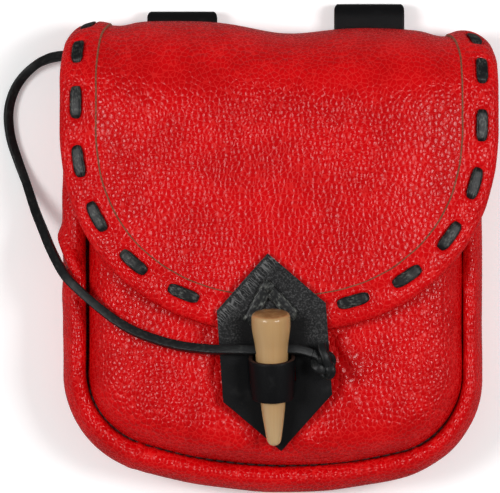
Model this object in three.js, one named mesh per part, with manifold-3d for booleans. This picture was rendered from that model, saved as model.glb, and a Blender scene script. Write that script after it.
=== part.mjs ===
// A medieval belt pouch of red grained leather, lying on its back.
// The back runs on over the top as one sheet and becomes the flap, which is bound and laced along its edge.
// A horn toggle on a cord closes it, pushed through a leather keeper that stands out of a slot in the clasp plate.
// Millimetres. +X is the wearer's left, +Y points up to the belt, +Z points out of the front.

import * as THREE from 'three';
import { mergeVertices } from 'three/addons/utils/BufferGeometryUtils.js';
import Module from 'manifold-3d';

const wasm = await Module();
wasm.setup();

const { clamp, smoothstep, lerp, degToRad } = THREE.MathUtils;

// Leather thicknesses, and the gap kept between pieces
const redLeather = 1.4;
const bindingLeather = 1.3;
const loopLeather = 2.0;
const plateLeather = 1.8;
const keeperLeather = 1.5;
const gap = 0.3;

// Facets that are flat to within this are merged where a piece has been cut
const flatness = 0.04;

// Body of the bag: its outline seen from the front
const bodyWidth = 159.6;
const bodyCentreX = -2.4;
const bodyBottomY = -93.1;
const cornerRadius = 36;
const bottomRadius = 190;
const bottomCentreX = 2;
const mouthY = 58;
const backSeamInset = 7;
const backLap = 6;
const frontSeamInset = 8.3;
const seamLean = -0.65;
const seamExtraAtBottom = 1.9;
const seamAllowance = 3.6;
const sideRows = [58, 45, 31, 18, 3, -12, -27, -40];
const cornerSteps = 6;
const bottomSteps = 6;

// Depth of the bag: the back is lifted off the ground by the belt loops, and the front is a crowned pillow
const backLift = 10;
const liftFromY = -35;
const liftToY = 45;
const bagHeight = 44;
const seamDrop = 14;
const valleyDepth = 2;
const edgeRounding = 12;
const edgeFall = 9;
const edgeFallPower = 3.2;

// Height of the front along the bag, as a share of its full height
const crownRows = [
  { along: 0.0, height: 0.9 },
  { along: 0.11, height: 0.955 },
  { along: 0.23, height: 0.99 },
  { along: 0.34, height: 1.0 },
  { along: 0.6, height: 0.985 },
  { along: 0.85, height: 0.965 },
  { along: 1.0, height: 0.955 },
];

// Cross section of the gusset, from the back seam round the side to the front seam:
// height as a share of the side's height, inset as a share of the front seam's inset
const gussetRows = [
  { height: 0.06, inset: 0.42 },
  { height: 0.28, inset: 0.1 },
  { height: 0.75, inset: 0.0 },
  { height: 1.0, inset: 0.25 },
  { height: 1.07, inset: 0.5 },
  { height: 1.02, inset: 0.76 },
];

// Flap: its outline on the flat leather is straight at the sides and a superellipse at the end
const flapHalfWidth = 83.2;
const flapTipY = -32.9;
const flapShoulderY = 45.4;
const flapPower = 2.2;
const flapStandoff = 5.4;

// Fold over the top of the bag: a wide quarter round at the front and a tight turn at the back
const foldStartY = 50.6;
const foldReach = 34.9;
const turnRadius = 5;
const foldNarrowing = 5.2;
const foldNarrowingLength = 40;
const flapMergeLength = 30;

// How far the top edge drops, at places given as shares of the flap's half width
const topDips = [
  { at: 0.03, depth: 3.6, spread: 0.22 },
  { at: 0.72, depth: 1.0, spread: 0.25 },
];
const topLean = 2.4;
const topEdgeDrop = 3.0;

// Binding round the flap's edge, and the flat lace that is run through it
const bindingWidth = 14;
const bindingUnderWidth = 11;
const bindingTail = 12;
const bindingGap = 0.5;
const laceWidth = 4.6;
const laceThickness = 1.2;
const laceInsetAtSide = 6.8;
const laceInsetAtTip = 9;
const lacePitch = 22.2;
const laceStitch = 12.6;
const laceStitchesPerSide = 7;
const laceSlant = 0.9;
const laceFirstLeft = -36.8;
const laceFirstRight = 28.2;

// Clasp on the front: plate, keeper loop, thong, horn toggle
const claspX = -2.6;
const claspY = -49.4;
const dentDepth = 3.4;
const dentY = -55;
const dentHalfWidth = 17;
const dentHalfLength = 20;
const plateLength = 74.6;
const plateWidth = 41.2;
const plateShoulder = 17.2;
const plateCentreX = -1.8;
const plateCentreY = -39.9;
const plateLeanDeg = 4;
const plateTopY = plateCentreY + plateLength / 2;
const plateBottomY = plateCentreY - plateLength / 2;
const plateLowBendY = -73;
const plateGap = 0.5;
const plateRidgeY = flapTipY - 3;
const plateHighBendY = flapTipY + bindingWidth + 3;
const keeperWidth = 15.5;
const keeperInnerWidth = 13.8;
const keeperRise = 6.4;
const keeperDrop = 9.5;
const hornTiltDeg = 17;
const hornLeanDeg = 1.6;
const hornClearOfRidge = 0.5;
const hornSides = 16;
const boreAlong = 11.2;
const boreClearance = 0.6;
const thongWidth = 4.4;

// The horn's outline: place along its length from the keeper's middle, and radius
const hornRows = [
  { along: -27.0, radius: 0 },
  { along: -26.4, radius: 1.3 },
  { along: -25.0, radius: 2.2 },
  { along: -20.0, radius: 3.0 },
  { along: -13.7, radius: 4.05 },
  { along: -6.4, radius: 4.95 },
  { along: 2.0, radius: 5.75 },
  { along: 8.0, radius: 6.1 },
  { along: 13.0, radius: 6.3 },
  { along: 16.3, radius: 6.8 },
  { along: 20.0, radius: 7.3 },
  { along: 24.6, radius: 7.2 },
  { along: 25.4, radius: 6.5 },
  { along: 25.6, radius: 0 },
];

// Places on the plate that the V of thong runs through: left hole, top of the V, right hole
const thongRoute = [
  { x: -12.4, y: -29.8 },
  { x: -4.6, y: -15.0 },
  { x: 6.8, y: -27.6 },
];

// Belt loops on the back: centre, top, and the leather folded round
const beltLoops = [
  { name: 'belt_loop_left', x: -37.0, top: 90.2 },
  { name: 'belt_loop_right', x: 34.7, top: 93.1 },
];
const loopWidth = 26.8;
const loopBottomY = 12;
const loopFoldRadius = 3.5;

// The toggle's cord, from the back's inner face, down to the ground, up over the front and through the horn
const cordDiameter = 3.4;
const cordSides = 8;
const cordSteps = 36;
const cordRoute = [
  [-65.0, 71.6, 12.1], [-65.4, 71.7, 14.2], [-67.2, 71.9, 16.7], [-71.0, 72.2, 18.3], [-75.4, 72.6, 18.1],
  [-80.0, 72.9, 16.0], [-84.2, 72.8, 12.4], [-88.6, 71.9, 7.6], [-93.4, 69.6, 3.6], [-98.4, 65.0, 2.1], [-102.0, 59.0, 1.8],
  [-103.8, 51.3, 1.8], [-103.0, 42.1, 1.8], [-100.2, 33.1, 2.0], [-96.8, 24.0, 4.2], [-93.2, 13.7, 11.0],
  [-89.8, 5.8, 19.0], [-86.3, -2.0, 27.5], [-81.3, -10.8, 34.2], [-75.4, -16.9, 37.6], [-68.0, -23.3, 41.0],
  [-59.4, -29.5, 44.2], [-50.8, -33.7, 46.0], [-39.0, -37.2, 48.6], [-27.0, -38.7, 53.2], [-17.0, -38.8, 57.4],
  [-10.5, -38.9, 59.0], [-3.1, -38.7, 59.15], [4.3, -38.6, 58.9], [8.4, -39.1, 58.0], [12.0, -40.2, 56.9],
];

// Knot at the cord's end, where the cord is squeezed thinner
const knotCentre = [17.0, -44.6, 55.8];
const knotScale = [1.6, 1.75, 1.5];
const knotTurnDeg = 20;
const knotStrand = 2.6;
const knotSides = 6;
const knotSteps = 36;

const red = 0xc4161c;
const colours = { red, redEdge: 0xb81419, black: 0x17171a, lace: 0x232326, horn: 0xc09a6a };

// Reads a column of a table at a place between its rows, along a smooth curve
function readTable(rows, column, at) {
  const last = rows.length - 1;
  if (at <= rows[0].along) return rows[0][column];
  if (at >= rows[last].along) return rows[last][column];
  const i = rows.findIndex((row) => row.along > at) - 1;
  const [a, b, c, d] = [rows[Math.max(i - 1, 0)], rows[i], rows[i + 1], rows[Math.min(i + 2, last)]];
  const span = c.along - b.along;
  const t = (at - b.along) / span;
  const slopeB = (span * (c[column] - a[column])) / (c.along - a.along);
  const slopeC = (span * (d[column] - b[column])) / (d.along - b.along);
  const t2 = t * t;
  const t3 = t2 * t;
  return (2 * t3 - 3 * t2 + 1) * b[column] + (t3 - 2 * t2 + t) * slopeB
    + (3 * t2 - 2 * t3) * c[column] + (t3 - t2) * slopeC;
}

// Turns points and triangles into a geometry, dropping triangles whose corners have run together
function closedGeometry(points, triangles) {
  const loose = new THREE.BufferGeometry().setFromPoints(points);
  loose.setIndex(triangles.flat());
  const merged = mergeVertices(loose, 1e-3);
  const index = Array.from(merged.index.array);
  const kept = [];
  for (let i = 0; i < index.length; i += 3) {
    const [a, b, c] = index.slice(i, i + 3);
    if (a !== b && b !== c && c !== a) kept.push(a, b, c);
  }
  merged.setIndex(kept);
  return merged;
}

// Gives a surface, drawn as points and triangles, the thickness of the leather, half to each side
function thicken(points, triangles, thickness) {
  const middle = closedGeometry(points, triangles);
  middle.computeVertexNormals();
  const place = middle.getAttribute('position');
  const normal = middle.getAttribute('normal');
  const index = Array.from(middle.index.array);
  const count = place.count;
  const both = [];
  for (const side of [1, -1]) {
    for (let i = 0; i < count; i++) {
      const point = new THREE.Vector3().fromBufferAttribute(place, i);
      const outward = new THREE.Vector3().fromBufferAttribute(normal, i);
      both.push(point.addScaledVector(outward, (side * thickness) / 2));
    }
  }
  const faces = [];
  const edges = new Map();
  for (let i = 0; i < index.length; i += 3) {
    const corner = index.slice(i, i + 3);
    faces.push(corner, [corner[2] + count, corner[1] + count, corner[0] + count]);
    for (let k = 0; k < 3; k++) edges.set(`${corner[k]},${corner[(k + 1) % 3]}`, [corner[k], corner[(k + 1) % 3]]);
  }
  for (const [a, b] of edges.values()) {
    if (edges.has(`${b},${a}`)) continue;
    faces.push([b, a, a + count], [b, a + count, b + count]);
  }
  return closedGeometry(both, faces);
}

// A leather sheet from a grid of points: rows that all have the same number of points
function sheetFromRows(rows, thickness) {
  const width = rows[0].length;
  const triangles = [];
  for (let i = 0; i + 1 < rows.length; i++) {
    for (let k = 0; k + 1 < width; k++) {
      const a = i * width + k;
      triangles.push([a, a + 1, a + width], [a + 1, a + width + 1, a + width]);
    }
  }
  return thicken(rows.flat(), triangles, thickness);
}

// A strap: rows of a point on its middle line and the direction across it
function strap(rows, width, thickness) {
  const edges = rows.map(({ point, across }) => [
    point.clone().addScaledVector(across, -width / 2),
    point.clone().addScaledVector(across, width / 2),
  ]);
  return sheetFromRows(edges, thickness);
}

// A geometry as a solid that can be cut or joined
function solidOf(geometry) {
  const bare = geometry.index ? geometry.toNonIndexed() : geometry.clone();
  for (const name of Object.keys(bare.attributes)) if (name !== 'position') bare.deleteAttribute(name);
  const merged = mergeVertices(bare, 1e-3);
  const solid = new wasm.Manifold(new wasm.Mesh({
    numProp: 3,
    vertProperties: merged.attributes.position.array,
    triVerts: new Uint32Array(merged.index.array),
  }));
  return solid;
}

function geometryOf(solid) {
  const mesh = solid.getMesh();
  const geometry = new THREE.BufferGeometry();
  geometry.setAttribute('position', new THREE.BufferAttribute(new Float32Array(mesh.vertProperties), 3));
  geometry.setIndex(new THREE.BufferAttribute(new Uint32Array(mesh.triVerts), 1));
  return geometry;
}

function cut(geometry, ...cutters) {
  const left = cutters.reduce((solid, cutter) => solid.subtract(solidOf(cutter)), solidOf(geometry));
  return geometryOf(left.simplify(flatness));
}

// Outline of the body: a line down the left, a corner, the long curve of the bottom, a corner, a line up the right.
// Each station on it has its point, the direction out of the bag, and how far in the front seam lies.
function bodyStations() {
  const left = bodyCentreX - bodyWidth / 2;
  const right = bodyCentreX + bodyWidth / 2;
  const bottomCentreY = bodyBottomY + bottomRadius;
  const cornerAt = (x) => {
    const across = x - bottomCentreX;
    return new THREE.Vector2(x, bottomCentreY - Math.sqrt((bottomRadius - cornerRadius) ** 2 - across ** 2));
  };
  const leftCorner = cornerAt(left + cornerRadius);
  const rightCorner = cornerAt(right - cornerRadius);
  const angleTo = (corner) => 2 * Math.PI + Math.atan2(corner.y - bottomCentreY, corner.x - bottomCentreX);
  const arc = (centre, radius, from, to, steps) => Array.from({ length: steps + 1 }, (_, k) => {
    const angle = lerp(from, to, k / steps);
    const out = new THREE.Vector2(Math.cos(angle), Math.sin(angle));
    return { point: out.clone().multiplyScalar(radius).add(centre), out };
  });
  const side = (x, direction) => sideRows.map((y) => ({
    point: new THREE.Vector2(x, y), out: new THREE.Vector2(direction, 0),
  }));
  const bottomCentre = new THREE.Vector2(bottomCentreX, bottomCentreY);
  const places = [
    ...side(left, -1),
    ...arc(leftCorner, cornerRadius, Math.PI, angleTo(leftCorner), cornerSteps),
    ...arc(bottomCentre, bottomRadius, angleTo(leftCorner), angleTo(rightCorner), bottomSteps).slice(1),
    ...arc(rightCorner, cornerRadius, angleTo(rightCorner), 2 * Math.PI, cornerSteps).slice(1),
    ...side(right, 1).reverse(),
  ];
  return places.map(({ point, out }) => {
    const seam = frontSeamInset + seamLean * out.x + seamExtraAtBottom * Math.max(0, -out.y);
    return { point, out, seam };
  });
}

const stations = bodyStations();

const insetPoint = ({ point, out }, inset) => point.clone().addScaledVector(out, -inset);

function backHeight(y) {
  return backLift * smoothstep(y, liftFromY, liftToY);
}

function crownLine(y) {
  return bagHeight * readTable(crownRows, 'height', (y - bodyBottomY) / (foldStartY - bodyBottomY));
}

function crown(x, y) {
  const fall = edgeFall * Math.abs(x / flapHalfWidth) ** edgeFallPower;
  const dentX = (x - claspX) / dentHalfWidth;
  const dentAlong = (y - dentY) / dentHalfLength;
  return crownLine(y) - fall - dentDepth * Math.exp(-dentX * dentX - dentAlong * dentAlong);
}

const seamHeight = (y) => crownLine(y) - seamDrop;
const flapHeight = (x, y) => crown(x, y) + flapStandoff;

// Height of the front panel at a place that lies the given distance inside its seam
function panelHeight(x, y, fromSeam) {
  const low = seamHeight(y) - valleyDepth;
  const rounding = 1 - clamp(fromSeam / edgeRounding, 0, 1);
  return low + (crown(x, y) - low) * Math.sqrt(1 - rounding * rounding);
}

// Front panel: rings from the middle of its top edge out to the seam, then the allowance turned in
function frontPanel() {
  const middle = new THREE.Vector2(bodyCentreX, mouthY);
  const innerShares = [0, 0.35, 0.7, 1];
  const outerDistances = [7, 3.2, 0.9, 0];
  const seamInset = (station) => station.seam + (gap + redLeather) / 2;
  const rows = stations.map((station) => {
    const flat = insetPoint(station, seamInset(station) + edgeRounding);
    const row = innerShares.map((share) => {
      const at = middle.clone().lerp(flat, share);
      return new THREE.Vector3(at.x, at.y, panelHeight(at.x, at.y, edgeRounding));
    });
    for (const distance of outerDistances) {
      const at = insetPoint(station, seamInset(station) + distance);
      row.push(new THREE.Vector3(at.x, at.y, panelHeight(at.x, at.y, distance)));
    }
    const edge = row[row.length - 1];
    row.push(edge.clone().setZ(edge.z - seamAllowance));
    return row.reverse();
  });
  return sheetFromRows(rows, redLeather);
}

// Gusset: the side strip, whose front edge swells into the roll that frames the front panel
function gusset() {
  const half = redLeather / 2;
  const rows = stations.map((station) => {
    const low = backHeight(station.point.y) + redLeather + gap + half;
    const high = seamHeight(station.point.y);
    const seamInset = station.seam - (gap + redLeather) / 2;
    const section = [
      { inset: backSeamInset + backLap, z: low },
      { inset: backSeamInset - 1, z: low },
      ...gussetRows.map((row) => ({ inset: half + row.inset * station.seam, z: lerp(low, high, row.height) })),
      { inset: seamInset, z: high - valleyDepth },
      { inset: seamInset, z: high - valleyDepth - seamAllowance },
    ];
    return section.map(({ inset, z }) => {
      const at = insetPoint(station, inset);
      return new THREE.Vector3(at.x, at.y, z);
    });
  });
  return sheetFromRows(rows.reverse(), redLeather);
}

// The sheet that is back, fold and flap. A place on it is given on the flat leather:
// x across, and s along, which is 0 at the very top, negative down the back and positive down the front.
const foldTopY = foldStartY + foldReach;
const foldBaseZ = backLift + redLeather / 2 + turnRadius;
const foldFrontZ = flapHeight(0, foldStartY);
const foldLength = (Math.PI / 2) * Math.sqrt((foldReach ** 2 + (foldFrontZ - foldBaseZ) ** 2) / 2);
const turnLength = (Math.PI / 2) * turnRadius;
const frontAlong = (y) => foldLength + foldStartY - y;
const backAlong = (y) => y - (foldTopY - turnRadius) - turnLength;

function topDrop(x) {
  const share = x / flapHalfWidth;
  const dips = topDips.reduce((sum, dip) => sum + dip.depth * Math.exp(-(((share - dip.at) / dip.spread) ** 2)), 0);
  return dips + topLean * smoothstep(share, -0.4, 0.5) + topEdgeDrop * share ** 6;
}

function sheetPoint(x, s) {
  let y;
  let z;
  if (s > foldLength) {
    y = foldStartY - (s - foldLength);
    z = flapHeight(x, y);
  } else if (s >= 0) {
    const angle = (Math.PI / 2) * (s / foldLength);
    y = foldStartY + foldReach * Math.cos(angle);
    z = foldBaseZ + (flapHeight(x, foldStartY) - foldBaseZ) * Math.sin(angle);
  } else if (s > -turnLength) {
    const angle = -s / turnRadius;
    y = foldTopY - turnRadius * (1 - Math.cos(angle));
    z = foldBaseZ - turnRadius * Math.sin(angle);
  } else {
    y = foldTopY - turnRadius + turnLength + s;
    z = backHeight(y) + redLeather / 2;
  }
  const over = Math.max(0, (y - foldStartY) / foldReach);
  return new THREE.Vector3(x, y - topDrop(x) * over * over, z);
}

// Direction out of the sheet, away from the inside of the bag
function sheetNormal(x, s) {
  const step = 0.5;
  const across = sheetPoint(x + step, s).sub(sheetPoint(x - step, s));
  const along = sheetPoint(x, s + step).sub(sheetPoint(x, s - step));
  return along.cross(across).normalize();
}

const onSheet = ({ x, y: s }, height) => sheetPoint(x, s).addScaledVector(sheetNormal(x, s), height);

// Places along the flap where sections are taken, the same in the sheet and in its binding,
// and the columns of the sheet as shares of its width, close together where the binding lies
const turnSteps = 3;
const foldSteps = 8;
const endSteps = 11;
const sheetColumns = [0, 0.05, 0.12, 0.21, 0.35, 0.5, 0.65, 0.79, 0.88, 0.95, 1];

function flapHalf(s) {
  const short = 1 - clamp(s / foldNarrowingLength, 0, 1);
  return flapHalfWidth - foldNarrowing * short * short;
}

// Left half of the flap's edge on the flat leather, from the tail on the back down to the tip
function leftEdge() {
  const places = [-bindingTail];
  for (let k = turnSteps; k > 0; k--) places.push((-turnLength * k) / turnSteps);
  for (let k = 0; k <= foldSteps; k++) places.push((foldLength * k) / foldSteps);
  const edge = places.map((s) => new THREE.Vector2(-flapHalf(s), s));
  const shoulder = frontAlong(flapShoulderY);
  const reach = flapShoulderY - flapTipY;
  for (let k = 0; k <= endSteps; k++) {
    const angle = (Math.PI / 2) * (k / endSteps);
    const x = k === endSteps ? 0 : -flapHalfWidth * Math.cos(angle) ** (2 / flapPower);
    edge.push(new THREE.Vector2(x, shoulder + reach * Math.sin(angle) ** (2 / flapPower)));
  }
  return edge;
}

const mirrored = (points) => points.slice(0, -1).reverse().map((p) => new THREE.Vector2(-p.x, p.y));
const flapEdge = [...leftEdge(), ...mirrored(leftEdge())];

// Direction across the flap's edge at each of its points, pointing into the leather
const flapInward = flapEdge.map((point, i) => {
  const before = flapEdge[Math.max(i - 1, 0)];
  const after = flapEdge[Math.min(i + 1, flapEdge.length - 1)];
  const along = after.clone().sub(before).normalize();
  return new THREE.Vector2(along.y, -along.x);
});

const insideFlapEdge = (i, inset) => flapEdge[i].clone().addScaledVector(flapInward[i], inset);

// The x of a line of points at a given height, read between the points
function lineAt(points, height) {
  for (let i = 0; i + 1 < points.length; i++) {
    const [a, b] = [points[i], points[i + 1]];
    if ((a.y - height) * (b.y - height) <= 0 && a.y !== b.y) {
      return lerp(a.x, b.x, (height - a.y) / (b.y - a.y));
    }
  }
  return points[points.length - 1].x;
}

function backAndFlap() {
  const half = (stations.length - 1) / 2;
  const backLine = stations.map((station) => insetPoint(station, backSeamInset));
  const backLeft = backLine.slice(0, half + 1);
  const backRight = backLine.slice(half);
  const edgeInset = bindingLeather + bindingGap;
  const leftCount = leftEdge().length;
  const flapLeft = Array.from({ length: leftCount }, (_, i) => insideFlapEdge(i, edgeInset));

  const backRows = backLeft.slice(0, -1).reverse().map((point) => ({
    s: backAlong(point.y), left: lineAt(backLeft, point.y), right: lineAt(backRight, point.y),
  }));
  const sideLeft = backLeft[0].x;
  const sideRight = backRight[backRight.length - 1].x;
  const foldHalf = -flapLeft[0].x;
  const merging = backRows.filter((row) => row.s > -flapMergeLength);
  merging.push({ s: lerp(-flapMergeLength, -bindingTail, 0.6) });
  for (const row of merging) {
    const share = smoothstep(row.s, -flapMergeLength, -bindingTail);
    row.left = lerp(sideLeft, -foldHalf, share);
    row.right = lerp(sideRight, foldHalf, share);
  }
  const rows = [
    ...backRows.filter((row) => row.s <= -flapMergeLength),
    ...merging.sort((a, b) => a.s - b.s),
    ...flapLeft.slice(0, -1).map((point) => ({ s: point.y, left: point.x, right: -point.x })),
  ];
  const grid = rows.map(({ s, left, right }) => sheetColumns.map((share) => sheetPoint(lerp(right, left, share), s)));
  return sheetFromRows(grid, redLeather);
}

const bindingFace = redLeather / 2 + bindingGap + bindingLeather / 2;

// Binding: a strip folded round the flap's edge, wider on the outside than on the inside
function binding() {
  const bend = bindingLeather / 2;
  const section = [
    { inset: bindingWidth, height: bindingFace },
    { inset: bend + 1.3, height: bindingFace },
    { inset: bend, height: bindingFace * 0.5 },
    { inset: bend, height: -bindingFace * 0.5 },
    { inset: bend + 1.3, height: -bindingFace },
    { inset: bindingUnderWidth, height: -bindingFace },
  ];
  const rows = flapEdge.map((_, i) => section.map(({ inset, height }) => onSheet(insideFlapEdge(i, inset), height)));
  return sheetFromRows(rows, bindingLeather);
}

// Line on the flat leather that the lace follows
function laceLine() {
  const last = flapEdge.length - 1;
  const points = flapEdge.map((_, i) => {
    const share = Math.sin((Math.PI * i) / last) ** 4;
    return insideFlapEdge(i, lerp(laceInsetAtSide, laceInsetAtTip, share));
  });
  const line = new THREE.SplineCurve(points);
  line.arcLengthDivisions = 600;
  return line;
}

// The lace: over the binding for one stitch, down through a slit, under for a gap, up through the next slit.
// Behind the clasp plate it stays under the flap.
function laceRows(clearance) {
  const line = laceLine();
  const length = line.getLength();
  const over = bindingFace + bindingLeather / 2 + 2 * gap + laceThickness / 2;
  const under = over - 0.5 * gap;
  const stitch = [
    { along: -0.5 * laceStitch - laceSlant, height: -under },
    { along: -0.5 * laceStitch + laceSlant, height: over },
    { along: 0, height: over },
    { along: 0.5 * laceStitch - laceSlant, height: over },
    { along: 0.5 * laceStitch + laceSlant, height: -under },
  ];
  const hidden = [{ along: 0, height: -under }];
  const places = [{ middle: 0, steps: hidden }];
  for (let k = 0; k < laceStitchesPerSide; k++) {
    places.unshift({ middle: laceFirstLeft - k * lacePitch, steps: stitch });
    places.push({ middle: laceFirstRight + k * lacePitch, steps: stitch });
  }
  const rows = [];
  for (const { middle, steps } of places) {
    for (const step of steps) {
      const share = clamp((length / 2 + middle + step.along) / length, 0, 1);
      const at = line.getPointAt(share);
      const along = line.getTangentAt(share);
      const inward = new THREE.Vector2(along.y, -along.x);
      const across = onSheet(at.clone().add(inward), step.height).sub(onSheet(at, step.height)).normalize();
      rows.push({ point: onSheet(at, step.height), across });
    }
  }
  return strap(rows, laceWidth + 2 * clearance, laceThickness + 2 * clearance);
}

// Clasp plate: a long hexagon bent over the flap's lower edge and over the round of the bag's bottom
function plateHeight(x, y) {
  const bed = plateLeather / 2 + plateGap;
  const onPanel = redLeather / 2 + bed;
  const onBinding = bindingFace + bindingLeather / 2 + bed;
  const bottomSeam = bodyBottomY + frontSeamInset + seamExtraAtBottom;
  const panelAt = (at) => panelHeight(x, at, at - bottomSeam);
  const rows = [
    { y: plateBottomY, z: panelAt(plateBottomY) + onPanel },
    { y: plateLowBendY, z: panelAt(plateLowBendY) + onPanel },
    { y: plateRidgeY, z: flapHeight(x, plateRidgeY) + onBinding },
    { y: plateHighBendY, z: flapHeight(x, plateHighBendY) + onBinding },
    { y: plateTopY, z: flapHeight(x, plateTopY) + onPanel },
  ];
  const i = clamp(rows.findIndex((row) => row.y > y), 1, rows.length - 1);
  return lerp(rows[i - 1].z, rows[i].z, (y - rows[i - 1].y) / (rows[i].y - rows[i - 1].y));
}

function platePoint(across, along, height = 0) {
  const at = new THREE.Vector2(across, along).rotateAround(new THREE.Vector2(), degToRad(plateLeanDeg));
  const x = plateCentreX + at.x;
  const y = plateCentreY + at.y;
  return new THREE.Vector3(x, y, plateHeight(x, y) + height);
}

function claspPlate() {
  const columns = 4;
  const tip = plateLength / 2;
  const alongRows = [-tip, -33, -23, -plateShoulder, -8, 0, 3, 6, 11, plateShoulder, 21, 25, tip];
  const rows = alongRows.map((along) => {
    const half = (plateWidth / 2) * clamp((tip - Math.abs(along)) / (tip - plateShoulder), 0, 1);
    return Array.from({ length: columns + 1 }, (_, k) => platePoint(lerp(half, -half, k / columns), along));
  });
  return cut(sheetFromRows(rows, plateLeather), keeperEnvelope(), thongStrap(gap));
}

// The V of thong that ties the plate to the flap: its ends go down through the plate
function thongStrap(clearance) {
  const above = plateLeather / 2 + gap + laceThickness / 2;
  const end = -plateLeather / 2 - clearance;
  const [left, top, right] = thongRoute.map(({ x, y }) => new THREE.Vector2(x, y));
  const sideOf = (from, to) => {
    const along = to.clone().sub(from).normalize();
    return new THREE.Vector2(along.y, -along.x);
  };
  const upSide = sideOf(left, top);
  const downSide = sideOf(top, right);
  const mitre = upSide.clone().add(downSide).normalize();
  mitre.divideScalar(mitre.dot(upSide));
  const row = (at, side, height) => ({
    point: new THREE.Vector3(at.x, at.y, plateHeight(at.x, at.y) + height),
    across: new THREE.Vector3(side.x, side.y, 0),
  });
  const between = (a, b, share) => a.clone().lerp(b, share);
  const rows = [
    row(left, upSide, end),
    row(left, upSide, above * 0.6),
    row(between(left, top, 0.1), upSide, above),
    row(between(left, top, 0.55), upSide, above),
    row(top, mitre, above),
    row(between(top, right, 0.5), downSide, above),
    row(between(top, right, 0.9), downSide, above),
    row(right, downSide, above * 0.6),
    row(right, downSide, end),
  ];
  return strap(rows, thongWidth + 2 * clearance, laceThickness + 2 * clearance);
}

// The horn and the keeper share a frame that lies along the horn, tilted up towards the belt
const hornTilt = degToRad(hornTiltDeg);
const hornRadius = (along) => readTable(hornRows, 'radius', along);

function toggleFrame() {
  const along = (plateRidgeY - claspY) / Math.cos(hornTilt);
  const ridgeTop = plateHeight(claspX, plateRidgeY) + plateLeather / 2;
  const height = ridgeTop + hornClearOfRidge + hornRadius(along) / Math.cos(hornTilt) - along * Math.sin(hornTilt);
  const frame = new THREE.Group();
  frame.position.set(claspX, claspY, height);
  frame.rotation.set(hornTilt, 0, degToRad(hornLeanDeg), 'ZXY');
  frame.updateMatrix();
  return frame;
}

function hornToggle() {
  const profile = hornRows.map(({ along, radius }) => new THREE.Vector2(radius, along));
  const horn = new THREE.LatheGeometry(profile, hornSides);
  const bore = new THREE.CylinderGeometry(cordDiameter / 2 + boreClearance, cordDiameter / 2 + boreClearance, 30, 12);
  bore.rotateZ(Math.PI / 2);
  bore.translate(0, boreAlong, 0);
  return cut(horn, bore);
}

// Outline of the keeper: round over the horn, straight legs, flat where it is sewn to the front panel
function keeperOutline(halfWidth, rise, drop, Kind) {
  const corner = 2;
  const outline = new Kind();
  outline.moveTo(halfWidth, 0);
  outline.absellipse(0, 0, halfWidth, rise, 0, Math.PI);
  outline.lineTo(-halfWidth, corner - drop);
  outline.quadraticCurveTo(-halfWidth, -drop, corner - halfWidth, -drop);
  outline.lineTo(halfWidth - corner, -drop);
  outline.quadraticCurveTo(halfWidth, -drop, halfWidth, corner - drop);
  outline.closePath();
  return outline;
}

function alongHorn(shape, length) {
  const geometry = new THREE.ExtrudeGeometry(shape, { depth: length, bevelEnabled: false, curveSegments: 6 });
  geometry.translate(0, 0, -length / 2);
  geometry.rotateX(Math.PI / 2);
  return geometry;
}

function keeper() {
  const outer = keeperInnerWidth / 2 + keeperLeather;
  const shape = keeperOutline(outer, keeperRise + keeperLeather, keeperDrop + keeperLeather, THREE.Shape);
  shape.holes.push(keeperOutline(keeperInnerWidth / 2, keeperRise, keeperDrop, THREE.Path));
  return alongHorn(shape, keeperWidth);
}

// The room that the plate's slot leaves round the keeper
function keeperEnvelope() {
  const side = 2 * gap;
  const outer = keeperInnerWidth / 2 + keeperLeather + side;
  const shape = keeperOutline(outer, keeperRise + keeperLeather + side, keeperDrop + keeperLeather + side, THREE.Shape);
  return alongHorn(shape, keeperWidth + 2 * side).applyMatrix4(toggleFrame().matrix);
}

// Belt loop: a strap folded at the top, with its two legs sewn together at the bottom
function beltLoop({ x, top }) {
  const innerLow = (y) => backHeight(y) - gap - loopLeather;
  const foldY = top - loopLeather - loopFoldRadius;
  const legYs = [loopBottomY, ...sideRows.filter((y) => y > loopBottomY).reverse(), foldY];
  const outline = new THREE.Shape();
  outline.moveTo(loopBottomY, 0);
  outline.lineTo(foldY, 0);
  const middleZ = (loopLeather + innerLow(foldY)) / 2;
  const radiusOut = innerLow(foldY) / 2 + loopLeather / 2;
  outline.absellipse(foldY, middleZ, loopFoldRadius + loopLeather, radiusOut, -Math.PI / 2, Math.PI / 2);
  for (const y of [...legYs].reverse()) outline.lineTo(y, innerLow(y) + loopLeather);
  outline.closePath();
  const channel = new THREE.Path();
  channel.moveTo(legYs[1], loopLeather);
  channel.lineTo(foldY, loopLeather);
  channel.absellipse(foldY, middleZ, loopFoldRadius, radiusOut - loopLeather, -Math.PI / 2, Math.PI / 2);
  for (const y of legYs.slice(1).reverse()) channel.lineTo(y, innerLow(y));
  channel.closePath();
  outline.holes.push(channel);
  const loop = new THREE.ExtrudeGeometry(outline, { depth: loopWidth, bevelEnabled: false, curveSegments: 6 });
  loop.translate(0, 0, -loopWidth / 2);
  loop.applyMatrix4(new THREE.Matrix4().makeBasis(
    new THREE.Vector3(0, 1, 0), new THREE.Vector3(0, 0, 1), new THREE.Vector3(1, 0, 0),
  ));
  return loop.translate(x, 0, 0);
}

function roundSection(diameter, sides) {
  const section = new THREE.Shape();
  for (let k = 0; k < sides; k++) {
    const angle = (2 * Math.PI * (k + 0.5)) / sides;
    const place = [(diameter / 2) * Math.cos(angle), (diameter / 2) * Math.sin(angle)];
    if (k === 0) section.moveTo(...place);
    else section.lineTo(...place);
  }
  section.closePath();
  return section;
}

function toggleCord() {
  const route = new THREE.CatmullRomCurve3(cordRoute.map((point) => new THREE.Vector3(...point)));
  return new THREE.ExtrudeGeometry(roundSection(cordDiameter, cordSides), { steps: cordSteps, extrudePath: route });
}

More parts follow.
